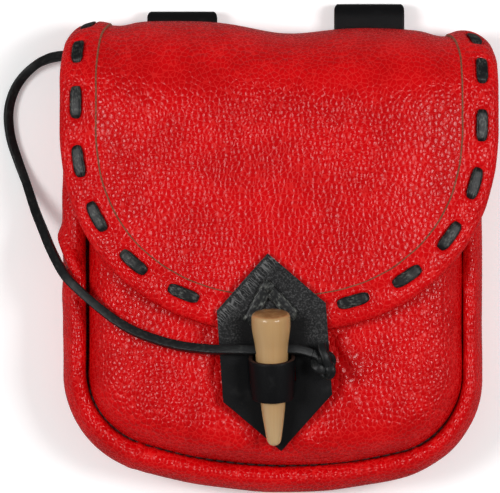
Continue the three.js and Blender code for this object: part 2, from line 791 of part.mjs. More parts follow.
// The knot at the cord's end: a closed trefoil, drawn tight
class Trefoil extends THREE.Curve {
  getPoint(share, target = new THREE.Vector3()) {
    const turn = 2 * Math.PI * share;
    const place = new THREE.Vector3(
      Math.sin(turn) + 2 * Math.sin(2 * turn), Math.cos(turn) - 2 * Math.cos(2 * turn), -Math.sin(3 * turn),
    );
    return target.copy(place.multiply(new THREE.Vector3(...knotScale)));
  }
}

function cordKnot() {
  const knot = new THREE.TubeGeometry(new Trefoil(), knotSteps, knotStrand / 2, knotSides, true);
  return knot.rotateZ(degToRad(knotTurnDeg)).translate(...knotCentre);
}

function piece(name, geometry, color, roughness) {
  const mesh = new THREE.Mesh(geometry, new THREE.MeshStandardMaterial({ color, roughness, metalness: 0 }));
  mesh.name = name;
  return mesh;
}

const pouch = new THREE.Group();
pouch.add(
  piece('back_and_flap', cut(backAndFlap(), laceRows(gap)), colours.red, 0.55),
  piece('front_panel', frontPanel(), colours.red, 0.55),
  piece('gusset', gusset(), colours.red, 0.55),
  piece('flap_binding', cut(binding(), laceRows(gap)), colours.redEdge, 0.5),
  piece('flap_lace', laceRows(0), colours.lace, 0.6),
  piece('clasp_plate', claspPlate(), colours.black, 0.5),
  piece('plate_thong', thongStrap(0), colours.lace, 0.6),
  ...beltLoops.map((loop) => piece(loop.name, beltLoop(loop), colours.black, 0.5)),
  piece('toggle_cord', toggleCord(), colours.lace, 0.6),
  piece('cord_knot', cordKnot(), colours.lace, 0.6),
);

const toggle = toggleFrame();
toggle.add(
  piece('horn_toggle', hornToggle(), colours.horn, 0.35),
  piece('toggle_keeper', keeper(), colours.black, 0.5),
);
pouch.add(toggle);

export default pouch;
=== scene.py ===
"""A red leather belt pouch with a laced flap, a clasp plate and a horn toggle, lying on its back."""

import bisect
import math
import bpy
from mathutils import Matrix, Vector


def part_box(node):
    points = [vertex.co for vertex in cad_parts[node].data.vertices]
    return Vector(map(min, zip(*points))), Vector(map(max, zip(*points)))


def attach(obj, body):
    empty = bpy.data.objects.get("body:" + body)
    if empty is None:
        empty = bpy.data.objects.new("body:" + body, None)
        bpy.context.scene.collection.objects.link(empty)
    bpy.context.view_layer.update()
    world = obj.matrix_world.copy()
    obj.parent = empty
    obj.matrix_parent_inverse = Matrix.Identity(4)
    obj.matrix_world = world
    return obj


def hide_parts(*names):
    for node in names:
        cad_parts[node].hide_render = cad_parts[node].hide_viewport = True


bl_info = {
    "name": "Belt Pouch Maker",
    "version": (1, 0, 0),
    "blender": (4, 5, 0),
    "location": "View3D > Sidebar > Pouch",
    "description": "Builds a red leather belt pouch with a laced flap, a clasp plate and a horn toggle",
    "category": "Add Mesh",
}

from collections import namedtuple
from types import SimpleNamespace

import bmesh
import bpy
from bpy.props import FloatProperty, FloatVectorProperty, IntProperty, PointerProperty
from mathutils import Matrix, Vector, noise

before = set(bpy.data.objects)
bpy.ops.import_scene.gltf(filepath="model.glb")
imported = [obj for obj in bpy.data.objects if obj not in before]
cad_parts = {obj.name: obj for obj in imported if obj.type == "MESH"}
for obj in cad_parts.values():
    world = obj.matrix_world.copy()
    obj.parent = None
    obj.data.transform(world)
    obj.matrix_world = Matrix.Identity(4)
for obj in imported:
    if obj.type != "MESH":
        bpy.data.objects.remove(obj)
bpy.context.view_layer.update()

MM = 0.001

# Width of the picture in pixels, for the camera
PHOTO_WIDTH = 500

CrownRow = namedtuple("CrownRow", "along height")
GussetRow = namedtuple("GussetRow", "height inset")
Dip = namedtuple("Dip", "at depth spread")
HornRow = namedtuple("HornRow", "along radius")
Crease = namedtuple("Crease", "x y turn length width depth")
BindingRow = namedtuple("BindingRow", "inset height")

# Height of the front along the bag, as a share of its full height
CROWN = (
    CrownRow(0.0, 0.9),
    CrownRow(0.11, 0.955),
    CrownRow(0.23, 0.99),
    CrownRow(0.34, 1.0),
    CrownRow(0.6, 0.985),
    CrownRow(0.85, 0.965),
    CrownRow(1.0, 0.955),
)

# Section of the gusset: height as a share of the side, inset as a share of the front seam's inset
GUSSET = (
    GussetRow(0.06, 0.42),
    GussetRow(0.28, 0.1),
    GussetRow(0.75, 0.0),
    GussetRow(1.0, 0.25),
    GussetRow(1.07, 0.5),
    GussetRow(1.02, 0.76),
)

# How far the top edge drops, at shares of the flap's half width
TOP_DIPS = (
    Dip(0.03, 3.6, 0.22),
    Dip(0.72, 1.0, 0.25),
    Dip(0.74, 1.6, 0.07),
    Dip(-0.72, 1.1, 0.06),
)

# Top face of the binding from its raw inner edge out to the fold, in millimetres over the leather's middle
BINDING_TOP = (
    BindingRow(13.9, 1.45),
    BindingRow(13.2, 1.6),
    BindingRow(11.5, 1.95),
    BindingRow(9.5, 2.4),
    BindingRow(7.0, 2.7),
    BindingRow(4.5, 2.7),
    BindingRow(2.6, 2.35),
    BindingRow(1.2, 1.75),
    BindingRow(0.4, 0.9),
    BindingRow(0.1, 0.0),
)

# The binding's underside as a share of its top face, and the inset and height of its inner edge
BINDING_UNDER = -0.9
BINDING_LIP = (14.4, 0.8)

# The horn: place along it from the middle of the keeper, and radius, in millimetres
HORN = (
    HornRow(-27.0, 0.0),
    HornRow(-26.75, 0.85),
    HornRow(-26.2, 1.75),
    HornRow(-25.0, 2.6),
    HornRow(-20.0, 3.45),
    HornRow(-13.7, 4.3),
    HornRow(-6.4, 4.95),
    HornRow(2.0, 5.75),
    HornRow(8.0, 6.1),
    HornRow(13.0, 6.3),
    HornRow(16.3, 6.8),
    HornRow(20.0, 7.3),
    HornRow(23.6, 7.3),
    HornRow(24.9, 7.0),
    HornRow(25.3, 6.5),
)

# Creases in the front panel beside the clasp plate, in millimetres and degrees
PANEL_CREASES = (
    Crease(23.0, -36.0, -58, 7.0, 1.3, 0.8),
    Crease(26.0, -42.0, -62, 8.0, 1.4, 0.9),
    Crease(24.5, -50.0, -66, 8.0, 1.5, 1.0),
    Crease(27.5, -56.0, -70, 6.0, 1.2, 0.6),
    Crease(30.0, -47.0, -60, 6.0, 1.2, 0.5),
    Crease(-25.0, -38.0, 62, 7.0, 1.5, 0.9),
    Crease(-27.0, -46.0, 66, 8.0, 1.5, 0.8),
    Crease(-24.0, -56.0, 70, 6.0, 1.3, 0.6),
    Crease(-12.0, -74.0, 35, 6.0, 1.3, 0.6),
    Crease(11.0, -73.0, -38, 6.0, 1.3, 0.6),
)

# Creases across the roll of the gusset
ROLL_CREASES = (
    Crease(-53.5, -77.5, 62, 5.0, 1.2, 1.3),
    Crease(-49.0, -80.5, 74, 4.0, 0.9, 0.7),
    Crease(-79.6, -1.0, 109, 9.0, 1.2, 2.8),
    Crease(-79.5, -12.0, 78, 10.0, 1.3, 1.0),
    Crease(-80.5, 16.0, 95, 8.0, 1.2, 0.9),
    Crease(52.0, -78.0, -60, 5.0, 1.1, 0.7),
)

# The toggle's cord, in millimetres: out of the back, over the ground and the front, and through the horn
CORD_ROUTE = (
    (-65.0, 71.6, 12.1), (-65.4, 71.7, 14.2), (-67.2, 71.9, 16.7), (-71.0, 72.2, 18.3),
    (-75.4, 72.6, 18.1), (-80.0, 72.9, 16.0), (-84.2, 72.8, 12.4), (-88.6, 71.9, 7.6),
    (-93.4, 69.6, 3.6), (-98.4, 65.0, 2.1), (-102.0, 59.0, 1.8), (-103.8, 51.3, 1.8),
    (-103.0, 42.1, 1.8), (-100.2, 33.1, 2.0), (-96.8, 24.0, 4.2), (-93.2, 13.7, 11.0),
    (-89.8, 5.8, 19.0), (-86.3, -2.0, 27.5), (-81.3, -10.8, 34.2), (-75.4, -16.9, 37.6),
    (-68.0, -23.3, 41.0), (-59.4, -29.5, 44.2), (-50.8, -33.7, 46.0), (-39.0, -37.2, 48.6),
    (-27.0, -38.7, 53.2), (-17.0, -38.8, 57.4), (-10.5, -38.9, 59.0), (-3.1, -38.7, 59.15),
    (4.3, -38.6, 58.9), (8.4, -39.1, 58.0), (12.0, -40.2, 56.9),
)

# The knot, in millimetres: its middle, its loops' reach, its cut tail, and the cord's neck that runs into it
KNOT_MIDDLE = (17.0, -44.6, 55.9)
KNOT_REACH = (1.1, 1.3, -1.4)
KNOT_TAIL = ((18.2, -44.6, 57.6), (17.2, -41.6, 58.6), (16.2, -39.2, 58.3), (15.6, -36.9, 57.3))
KNOT_NECK = ((12.3, -40.3, 56.8), (13.8, -40.9, 56.5), (15.4, -42.2, 56.3), (16.6, -43.8, 56.2))

# The V of thong on the clasp plate: left hole, top of the V, right hole, in millimetres
THONG_ROUTE = ((-12.4, -29.8), (-4.6, -15.0), (6.8, -27.6))


def length(name, description, millimetres):
    """A size that the panel shows, given here in millimetres."""
    size = millimetres * MM
    return FloatProperty(name=name, description=description, default=size, unit="LENGTH", precision=5)


def angle(name, description, degrees):
    return FloatProperty(name=name, description=description, default=math.radians(degrees), subtype="ANGLE")


def share(name, description, default):
    return FloatProperty(name=name, description=description, default=default, soft_min=0.0, soft_max=10.0)


def count(name, description, default):
    return IntProperty(name=name, description=description, default=default, min=1)


def colour(name, description, default):
    return FloatVectorProperty(
        name=name, description=description, default=default, size=3, subtype="COLOR", min=0.0, max=1.0
    )


class PouchBody(bpy.types.PropertyGroup):
    """Sizes of the bag itself."""

    width: length("Width", "Width of the bag", 159.6)
    centre_x: length("Centre", "Where the middle of the bag lies across", -2.4)
    bottom_y: length("Bottom", "Lowest point of the bag's outline", -93.6)
    corner_radius: length("Corner radius", "Radius of the two lower corners", 39.0)
    bottom_radius: length("Bottom radius", "Radius of the curve along the bottom", 190.0)
    bottom_centre_x: length("Bottom centre", "Where the bottom's curve is lowest", 2.0)
    mouth_y: length("Mouth", "Top edge of the front panel and the gusset", 58.0)
    height: length("Depth", "Depth of the filled bag, on the ground", 44.0)
    back_lift: length("Back lift", "How far the belt loops lift the back", 10.0)
    lift_from_y: length("Lift start", "Where the back leaves the ground", -35.0)
    lift_to_y: length("Lift end", "Where the back is lifted fully", 45.0)
    seam_drop: length("Seam drop", "How far the front seam lies below the front", 14.0)
    valley: length("Valley", "Depth of the valley at the front seam", 2.0)
    rounding: length("Rounding", "Width over which the front panel rounds off", 12.0)
    edge_fall: length("Edge fall", "How far the front falls at its sides", 9.0)
    edge_fall_power: share("Edge fall power", "How late the front falls at its sides", 3.2)
    back_seam: length("Back seam", "How far in the back's edge lies", 7.0)
    front_seam: length("Front seam", "How far in the front seam lies", 8.3)
    seam_lean: length("Seam lean", "How much wider the roll is on the left", -0.65)
    seam_bottom: length("Seam at bottom", "How much wider the roll is at the bottom", 1.9)
    seam_gape: length("Seam gape", "How far the front seam stands open on the left", 1.0)
    allowance: length("Seam allowance", "Leather turned in at the front seam", 3.6)
    leather: length("Leather", "Thickness of the red leather", 1.4)
    gap: length("Gap", "Room between pieces", 0.3)


class PouchFlap(bpy.types.PropertyGroup):
    """Sizes of the flap, its binding and its lace."""

    half_width: length("Half width", "Half the flap's width", 83.2)
    tip_y: length("Tip", "Lowest point of the flap", -32.9)
    shoulder_y: length("Shoulder", "Where the flap starts to narrow", 45.4)
    power: share("Roundness", "Power of the flap's rounded end", 2.2)
    standoff: length("Standoff", "How far the flap lies above the front", 5.4)
    fold_start_y: length("Fold start", "Where the flap turns down over the top", 50.6)
    fold_reach: length("Fold reach", "How far the fold reaches", 34.9)
    turn_radius: length("Turn radius", "Radius of the tight turn at the back", 5.0)
    narrowing: length("Narrowing", "How much narrower the flap is at the top", 5.2)
    narrowing_length: length("Narrowing length", "Over how much of its length it narrows", 40.0)
    merge_length: length("Merge", "Where the flap's width becomes the back's", 30.0)
    top_lean: length("Top lean", "How much lower the top is on the right", 2.4)
    top_edge_drop: length("Top edge drop", "How much lower the top is at its ends", 9.0)
    top_edge_power: share("Top edge power", "How late the top drops at its ends", 8.0)
    binding_width: length("Binding width", "Width of the binding on the outside", 14.0)
    binding_under: length("Binding under", "Width of the binding on the inside", 11.0)
    binding_tail: length("Binding tail", "How far the binding runs down the back", 12.0)
    binding_leather: length("Binding leather", "Thickness of the binding", 0.8)
    lace_width: length("Lace width", "Width of the lace", 4.4)
    lace_thickness: length("Lace thickness", "Thickness of the lace", 1.2)
    lace_side: length("Lace inset at side", "How far in the lace runs at the sides", 6.8)
    lace_tip: length("Lace inset at tip", "How far in the lace runs at the tip", 9.0)
    lace_pitch: length("Pitch", "Distance from stitch to stitch", 22.2)
    lace_stitch: length("Stitch", "Length of a stitch", 12.6)
    lace_left: length("First on the left", "Middle of the first stitch left of the plate", -36.8)
    lace_right: length("First on the right", "Middle of the first stitch right of the plate", 28.2)
    lace_count: count("Stitches a side", "Stitches on each side of the plate", 7)


class PouchClasp(bpy.types.PropertyGroup):
    """Sizes of the clasp plate, keeper, horn and cord."""

    x: length("Clasp across", "Where the toggle lies across", -2.6)
    y: length("Clasp along", "Where the middle of the keeper lies", -49.4)
    dent: length("Dent", "How far the clasp presses the front in", 3.4)
    dent_y: length("Dent middle", "Where that dent is deepest", -55.0)
    dent_half_width: length("Dent width", "Half width of the dent", 17.0)
    dent_half_length: length("Dent length", "Half length of the dent", 20.0)
    plate_length: length("Plate length", "Length of the clasp plate", 74.6)
    plate_width: length("Plate width", "Width of the clasp plate", 41.2)
    plate_shoulder: length("Plate shoulder", "From the plate's middle to its shoulders", 17.2)
    plate_x: length("Plate across", "Where the plate's middle lies across", -1.8)
    plate_y: length("Plate along", "Where the plate's middle lies", -39.9)
    plate_lean: angle("Plate lean", "How far the plate is turned", 4.0)
    plate_leather: length("Plate leather", "Thickness of the plate", 1.8)
    plate_gap: length("Plate gap", "Room under the plate", 0.5)
    plate_low_bend: length("Low bend", "Where the plate bends over the bag's bottom", -73.0)
    keeper_width: length("Keeper length", "Length of the keeper along the horn", 15.5)
    keeper_inner: length("Keeper width", "Room inside the keeper", 13.8)
    keeper_rise: length("Keeper rise", "Height of the keeper over the horn's middle", 6.4)
    keeper_drop: length("Keeper drop", "Depth of the keeper below the horn's middle", 9.5)
    keeper_leather: length("Keeper leather", "Thickness of the keeper", 1.5)
    horn_tilt: angle("Horn tilt", "How far the horn's thick end is raised", 17.0)
    horn_lean: angle("Horn lean", "How far the horn is turned", 1.6)
    horn_clear: length("Horn clearance", "Room between the horn and the plate", 0.5)
    thong_width: length("Thong width", "Width of the plate's thong", 4.8)
    cord_width: length("Cord width", "Width of the toggle's cord", 3.4)
    cord_thickness: length("Cord thickness", "Thickness of the toggle's cord", 2.9)
    knot_width: length("Knot width", "Width of the cord where it is knotted", 4.1)
    knot_turn: angle("Knot turn", "How far the knot is turned", 24.0)
    loop_width: length("Loop width", "Width of a belt loop", 26.8)
    loop_leather: length("Loop leather", "Thickness of a belt loop", 2.0)
    loop_bottom_y: length("Loop end", "Lower end of the belt loops", 12.0)
    loop_fold: length("Loop fold", "Inner radius of the fold at the loop's top", 3.5)


class PouchColours(bpy.types.PropertyGroup):
    """Colours of the leathers, lace and horn."""

    red: colour("Red", "Body of the red leather", (0.62, 0.001, 0.003))
    red_deep: colour("Deep red", "Darker clouds in the red leather", (0.50, 0.0005, 0.002))
    # Painted highlight: the lighter colour of the glint along the grain's creases.
    red_crease_glint: colour("Crease glint red", "Creases of the grain", (0.74, 0.018, 0.016))
    raw_edge: colour("Raw edge", "Cut edge of the red leather", (0.32, 0.11, 0.06))
    black: colour("Black", "Smooth black leather", (0.004, 0.004, 0.0045))
    # Also the colour of the painted sheen on the clasp plate above its bend, besides the scuffs.
    scuff_and_sheen: colour("Scuffs and sheen on black", "Creases and worn places", (0.10, 0.10, 0.10))
    crackle: colour("Crackle", "Cracks in the clasp plate's finish", (0.12, 0.12, 0.12))
    brown_edge: colour("Brown edge", "Cut edge of the black leather", (0.055, 0.022, 0.014))
    lace: colour("Lace", "Flat lace and cord", (0.005, 0.0055, 0.006))
    lace_edge: colour("Lace edge", "Cut edge of the lace", (0.14, 0.145, 0.13))
    horn: colour("Horn", "Body of the horn", (0.45, 0.26, 0.105))
    horn_light: colour("Light horn", "Tip and pale streaks", (0.54, 0.36, 0.185))
    horn_dark: colour("Dark horn", "Sawn end and dark streaks", (0.30, 0.14, 0.045))
    floor: colour("Floor", "Ground and backdrop", (0.93, 0.93, 0.93))


class PouchStage(bpy.types.PropertyGroup):
    """Camera and lights."""

    scale: FloatProperty(
        name="Scale", description="Millimetres of the pouch per pixel of the picture", default=0.38
    )
    view_x: length("View across", "What the camera looks at, across", -11.02)
    view_y: length("View along", "What the camera looks at, along", 0.0)
    view_z: length("View height", "Height at which the scale holds", 30.0)
    distance: length("Camera distance", "Height of the camera", 2500.0)
    side_light: share("Side lights", "Strength of the soft lights at the sides, in watts", 10.3)
    overhead_light: share("Overhead light", "Strength of the long light overhead, in watts", 10.0)
    floor_glow: share("Floor glow", "Light that the floor gives by itself", 0.22)
    sky: share("Sky", "Strength of the light from all round", 0.16)


GROUPS = {
    "pouch_body": PouchBody,
    "pouch_flap": PouchFlap,
    "pouch_clasp": PouchClasp,
    "pouch_colours": PouchColours,
    "pouch_stage": PouchStage,
}


def values(group):
    """A property group's values as plain numbers and tuples."""
    found = {}
    for name in group.__annotations__:
        value = getattr(group, name)
        found[name] = tuple(value) if hasattr(value, "__len__") else value
    return SimpleNamespace(**found)


def lerp(low, high, t):
    return low + (high - low) * t


def clamp(value, low=0.0, high=1.0):
    return min(max(value, low), high)


def smoothstep(value, low, high):
    t = clamp((value - low) / (high - low))
    return t * t * (3 - 2 * t)


def bell(distance):
    return math.exp(-distance * distance)


def wander(x, y, z):
    """Soft noise, from about -1 to 1."""
    return noise.noise(Vector((x, y, z)))


def table_at(rows, at):
    """Reads a two-column table at a place between its rows, along a smooth curve."""
    first, last = rows[0], rows[-1]
    if at <= first[0]:
        return first[1]
    if at >= last[0]:
        return last[1]
    i = next(k for k, row in enumerate(rows) if row[0] > at) - 1
    a, b, c, d = rows[max(i - 1, 0)], rows[i], rows[i + 1], rows[min(i + 2, len(rows) - 1)]
    span = c[0] - b[0]
    t = (at - b[0]) / span
    slope_b = span * (c[1] - a[1]) / (c[0] - a[0])
    slope_c = span * (d[1] - b[1]) / (d[0] - b[0])
    t2, t3 = t * t, t * t * t
    from_b = (2 * t3 - 3 * t2 + 1) * b[1] + (t3 - 2 * t2 + t) * slope_b
    from_c = (3 * t2 - 2 * t3) * c[1] + (t3 - t2) * slope_c
    return from_b + from_c


def smooth_line(points, at):
    """A point on the smooth curve through the points, at from 0 to 1."""
    last = len(points) - 1
    place = clamp(at) * last
    i = min(int(place), last - 1)
    t = place - i
    a, b, c, d = points[max(i - 1, 0)], points[i], points[i + 1], points[min(i + 2, last)]
    return (
        b * 2 + (c - a) * t + (a * 2 - b * 5 + c * 4 - d) * (t * t) + (b * 3 - a - c * 3 + d) * (t * t * t)
    ) * 0.5


class Track:
    """A line through points that can be read at any distance along it."""

    def __init__(self, points):
        self.points = points
        self.reach = [0.0]
        for a, b in zip(points, points[1:]):
            self.reach.append(self.reach[-1] + (b - a).length)
        self.length = self.reach[-1]

    def at(self, distance):
        distance = clamp(distance, 0.0, self.length)
        i = clamp(bisect.bisect_right(self.reach, distance), 1, len(self.points) - 1)
        before, after = self.reach[i - 1], self.reach[i]
        return self.points[i - 1].lerp(self.points[i], (distance - before) / max(after - before, 1e-9))

    def along(self, distance, step=0.6 * MM):
        return (self.at(distance + step) - self.at(distance - step)).normalized()

    def side(self, distance):
        """Direction to the right of the way that the line runs."""
        along = self.along(distance)
        return Vector((along.y, -along.x))


class Leather:
    """The pouch's surfaces, worked out from the sizes in the panel."""

    def __init__(self, scene):
        self.body = body = values(scene.pouch_body)
        self.flap = flap = values(scene.pouch_flap)
        self.clasp = values(scene.pouch_clasp)
        self.outline = self.body_outline()
        self.back_line = self.inset_line(body.back_seam)
        self.fold_top = flap.fold_start_y + flap.fold_reach
        self.fold_base = body.back_lift + body.leather / 2 + flap.turn_radius
        self.fold_front = self.crown(0.0, flap.fold_start_y) + flap.standoff
        rise = self.fold_front - self.fold_base
        self.fold_length = math.pi / 2 * math.sqrt((flap.fold_reach**2 + rise**2) / 2)
        self.turn_length = math.pi / 2 * flap.turn_radius
        self.edge = self.flap_edge()
        self.lace = self.lace_line()
        self.ridge_y = flap.tip_y - 3 * MM
        self.high_bend_y = flap.tip_y + flap.binding_width + 3 * MM

    # the bag

    def body_outline(self):
        body = self.body
        left, right = body.centre_x - body.width / 2, body.centre_x + body.width / 2
        centre = Vector((body.bottom_centre_x, body.bottom_y + body.bottom_radius))

        def corner(x):
            reach = (body.bottom_radius - body.corner_radius) ** 2 - (x - centre.x) ** 2
            return Vector((x, centre.y - math.sqrt(reach)))

        def arc(middle, radius, start, end, steps):
            turns = [lerp(start, end, k / steps) for k in range(steps + 1)]
            return [middle + Vector((math.cos(t), math.sin(t))) * radius for t in turns]

        low_left, low_right = corner(left + body.corner_radius), corner(right - body.corner_radius)
        to_left = math.atan2(low_left.y - centre.y, low_left.x - centre.x) + 2 * math.pi
        to_right = math.atan2(low_right.y - centre.y, low_right.x - centre.x) + 2 * math.pi
        points = [Vector((left, body.mouth_y))]
        points += arc(low_left, body.corner_radius, math.pi, to_left, 90)
        points += arc(centre, body.bottom_radius, to_left, to_right, 120)[1:]
        points += arc(low_right, body.corner_radius, to_right, 2 * math.pi, 90)[1:]
        points.append(Vector((right, body.mouth_y)))
        return Track(points)

    def inset_line(self, inset, steps=400):
        """The outline moved inwards, as its points from the left mouth round to the right."""
        distances = [self.outline.length * k / steps for k in range(steps + 1)]
        return [self.outline.at(distance) - self.outline.side(distance) * inset for distance in distances]

    def seam_inset(self, out):
        body = self.body
        return body.front_seam + body.seam_lean * out.x + body.seam_bottom * max(0.0, -out.y)

    def back_height(self, y):
        body = self.body
        return body.back_lift * smoothstep(y, body.lift_from_y, body.lift_to_y)

    def crown_line(self, y):
        body = self.body
        return body.height * table_at(CROWN, (y - body.bottom_y) / (self.flap.fold_start_y - body.bottom_y))

    def crown(self, x, y):
        body, clasp = self.body, self.clasp
        fall = body.edge_fall * (abs(x) / self.flap.half_width) ** body.edge_fall_power
        across, along = (x - clasp.x) / clasp.dent_half_width, (y - clasp.dent_y) / clasp.dent_half_length
        return self.crown_line(y) - fall - clasp.dent * bell(across) * bell(along)

    def seam_height(self, y):
        return self.crown_line(y) - self.body.seam_drop

    def panel_height(self, x, y, from_seam):
        low = self.seam_height(y) - self.body.valley
        rounding = 1 - clamp(from_seam / self.body.rounding)
        return low + (self.crown(x, y) - low) * math.sqrt(max(0.0, 1 - rounding * rounding))

    # the flap

    def flap_height(self, x, y):
        sway = 0.35 * MM * wander(x * 28, y * 22, 1.7)
        return self.crown(x, y) + self.flap.standoff + sway

    def flap_half(self, s):
        flap = self.flap
        short = 1 - clamp(s / flap.narrowing_length)
        return flap.half_width - flap.narrowing * short * short

    def top_drop(self, x):
        flap = self.flap
        at = x / flap.half_width
        dips = sum(dip.depth * MM * bell((at - dip.at) / dip.spread) for dip in TOP_DIPS)
        lean = flap.top_lean * smoothstep(at, -0.4, 0.5)
        return dips + lean + flap.top_edge_drop * at**flap.top_edge_power

    def front_along(self, y):
        return self.fold_length + self.flap.fold_start_y - y

    def back_along(self, y):
        return y - (self.fold_top - self.flap.turn_radius) - self.turn_length

    def sheet_point(self, x, s):
        """Where a place on the flat leather lies. At the top s is 0, and it grows down the front."""
        flap, body = self.flap, self.body
        if s > self.fold_length:
            y = flap.fold_start_y - (s - self.fold_length)
            z = self.flap_height(x, y)
        elif s >= 0:
            turn = math.pi / 2 * s / self.fold_length
            y = flap.fold_start_y + flap.fold_reach * math.cos(turn)
            z = self.fold_base + (self.flap_height(x, flap.fold_start_y) - self.fold_base) * math.sin(turn)
        elif s > -self.turn_length:
            turn = -s / flap.turn_radius
            y = self.fold_top - flap.turn_radius * (1 - math.cos(turn))
            z = self.fold_base - flap.turn_radius * math.sin(turn)
        else:
            y = self.fold_top - flap.turn_radius + self.turn_length + s
            z = self.back_height(y) + body.leather / 2
        over = max(0.0, (y - flap.fold_start_y) / flap.fold_reach)
        return Vector((x, y - self.top_drop(x) * over * over, z))

    def sheet_normal(self, x, s, step=0.5 * MM):
        across = self.sheet_point(x + step, s) - self.sheet_point(x - step, s)
        along = self.sheet_point(x, s + step) - self.sheet_point(x, s - step)
        return along.cross(across).normalized()

    def on_sheet(self, place, height):
        return self.sheet_point(place.x, place.y) + self.sheet_normal(place.x, place.y) * height

    def flap_edge(self):
        """The flap's edge on the flat leather, from the left tail round the tip to the right tail."""
        flap = self.flap
        shoulder = self.front_along(flap.shoulder_y)
        reach = flap.shoulder_y - flap.tip_y
        straight_steps, round_steps = 90, 150
        left = []
        for k in range(straight_steps):
            s = lerp(-flap.binding_tail, shoulder, k / straight_steps)
            left.append(Vector((-self.flap_half(s), s)))
        for k in range(round_steps + 1):
            turn = math.pi / 2 * k / round_steps
            x = 0.0 if k == round_steps else -flap.half_width * math.cos(turn) ** (2 / flap.power)
            left.append(Vector((x, shoulder + reach * math.sin(turn) ** (2 / flap.power))))
        right = [Vector((-p.x, p.y)) for p in reversed(left[:-1])]
        return Track(left + right)

    def inside_edge(self, distance, inset):
        return self.edge.at(distance) + self.edge.side(distance) * inset

    def lace_line(self):
        distances = self.edge.reach
        return Track([self.inside_edge(distance, self.lace_inset(distance)) for distance in distances])

    def lace_inset(self, distance):
        flap = self.flap
        return lerp(flap.lace_side, flap.lace_tip, math.sin(math.pi * distance / self.edge.length) ** 4)

    def lace_distance(self, distance):
        """Distance along the lace's line that goes with a distance along the edge."""
        i = clamp(bisect.bisect_right(self.edge.reach, distance), 1, len(self.edge.reach) - 1)
        before, after = self.edge.reach[i - 1], self.edge.reach[i]
        t = clamp((distance - before) / max(after - before, 1e-9))
        return lerp(self.lace.reach[i - 1], self.lace.reach[i], t)

    def stitch_at(self, along):
        """Number of the stitch nearest to a place on the lace's line, and the distance from its middle."""
        flap = self.flap
        offset = along - self.lace.length / 2
        on_left = offset < (flap.lace_left + flap.lace_right) / 2
        first, way = (flap.lace_left, -1) if on_left else (flap.lace_right, 1)
        number = int(clamp(round((offset - first) * way / flap.lace_pitch), 0, flap.lace_count - 1))
        return (number + 1) * way, offset - first - number * way * flap.lace_pitch

    # the clasp

    def plate_height(self, x, y):
        """Height of the plate's middle, straight from bend to bend over the front and the flap."""
        clasp, body = self.clasp, self.body
        bed = clasp.plate_leather / 2 + clasp.plate_gap
        on_leather, on_binding = body.leather / 2 + bed, 2.5 * MM + bed
        bottom_seam = body.bottom_y + body.front_seam + body.seam_bottom
        top, bottom = clasp.plate_y + clasp.plate_length / 2, clasp.plate_y - clasp.plate_length / 2
        low = clasp.plate_low_bend
        rows = (
            (bottom, self.panel_height(x, bottom, bottom - bottom_seam) + on_leather),
            (low, self.panel_height(x, low, low - bottom_seam) + on_leather),
            (self.ridge_y, self.flap_height(x, self.ridge_y) + on_binding),
            (self.high_bend_y, self.flap_height(x, self.high_bend_y) + on_binding),
            (top, self.flap_height(x, top) + on_leather),
        )
        above = next((k for k, row in enumerate(rows) if row[0] > y), len(rows) - 1)
        above = max(above, 1)
        (y0, z0), (y1, z1) = rows[above - 1], rows[above]
        return lerp(z0, z1, (y - y0) / (y1 - y0))

    def plate_surface(self, x, y):
        """Height of the plate's middle, with its bends rounded."""
        reach = 2.2 * MM
        return sum(self.plate_height(x, y + reach * k) for k in (-1, -0.5, 0, 0.5, 1)) / 5

    def toggle_frame(self):
        clasp = self.clasp
        along = (self.ridge_y - clasp.y) / math.cos(clasp.horn_tilt)
        top = self.plate_height(clasp.x, self.ridge_y) + clasp.plate_leather / 2
        radius = table_at(HORN, along / MM) * MM
        height = top + clasp.horn_clear + radius / math.cos(clasp.horn_tilt)
        height -= along * math.sin(clasp.horn_tilt)
        turn = Matrix.Rotation(clasp.horn_lean, 4, "Z") @ Matrix.Rotation(clasp.horn_tilt, 4, "X")
        return Matrix.Translation((clasp.x, clasp.y, height)) @ turn


# Building meshes


def grid(columns, rows, place, size=(1.0, 1.0), closed=False, finish=None):
    """A grid moved onto place(u, v), u across and v along, with a UV map of the given size in metres."""
    bm = bmesh.new()
    bmesh.ops.create_grid(bm, x_segments=columns, y_segments=rows, size=0.5)
    layer = bm.loops.layers.uv.new("UVMap")
    for face in bm.faces:
        middle = face.calc_center_median()
        if finish:
            face.material_index = finish(middle.x + 0.5, middle.y + 0.5)
        for loop in face.loops:
            loop[layer].uv = ((loop.vert.co.x + 0.5) * size[0], (loop.vert.co.y + 0.5) * size[1])
    for vert in bm.verts:
        vert.co = place(clamp(vert.co.x + 0.5), clamp(vert.co.y + 0.5))
    if closed:
        bmesh.ops.remove_doubles(bm, verts=bm.verts, dist=1e-6)
        cap_holes(bm)
    return bm


def cap_holes(bm):
    """Closes the open ends of a tube."""
    open_edges = [edge for edge in bm.edges if len(edge.link_faces) == 1]
    if open_edges:
        bmesh.ops.holes_fill(bm, edges=open_edges, sides=0)
    bmesh.ops.recalc_face_normals(bm, faces=bm.faces)


def push(bm, relief):
    """Moves each point along its normal by relief(point)."""
    bm.normal_update()
    moves = [(vert, vert.normal * relief(vert.co)) for vert in bm.verts]
    for vert, move in moves:
        vert.co += move


def join(bm, other):
    """Moves the other mesh into the first."""
    mesh = bpy.data.meshes.new("joined")
    other.to_mesh(mesh)
    other.free()
    bm.from_mesh(mesh)
    bpy.data.meshes.remove(mesh)


def add_piece(name, bm, finishes, replaces=(), sharp=50.0):
    """Makes an object of a bmesh, rides it on the pouch, and hides the plain solids that it stands for."""
    mesh = bpy.data.meshes.new(name)
    bm.to_mesh(mesh)
    bm.free()
    for finish in finishes:
        mesh.materials.append(material(finish))
    mesh.shade_smooth()
    mesh.set_sharp_from_angle(angle=math.radians(sharp))
    piece = bpy.data.objects.new(name, mesh)
    bpy.context.scene.collection.objects.link(piece)
    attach(piece, "root")
    if replaces:
        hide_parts(*replaces)
    return piece


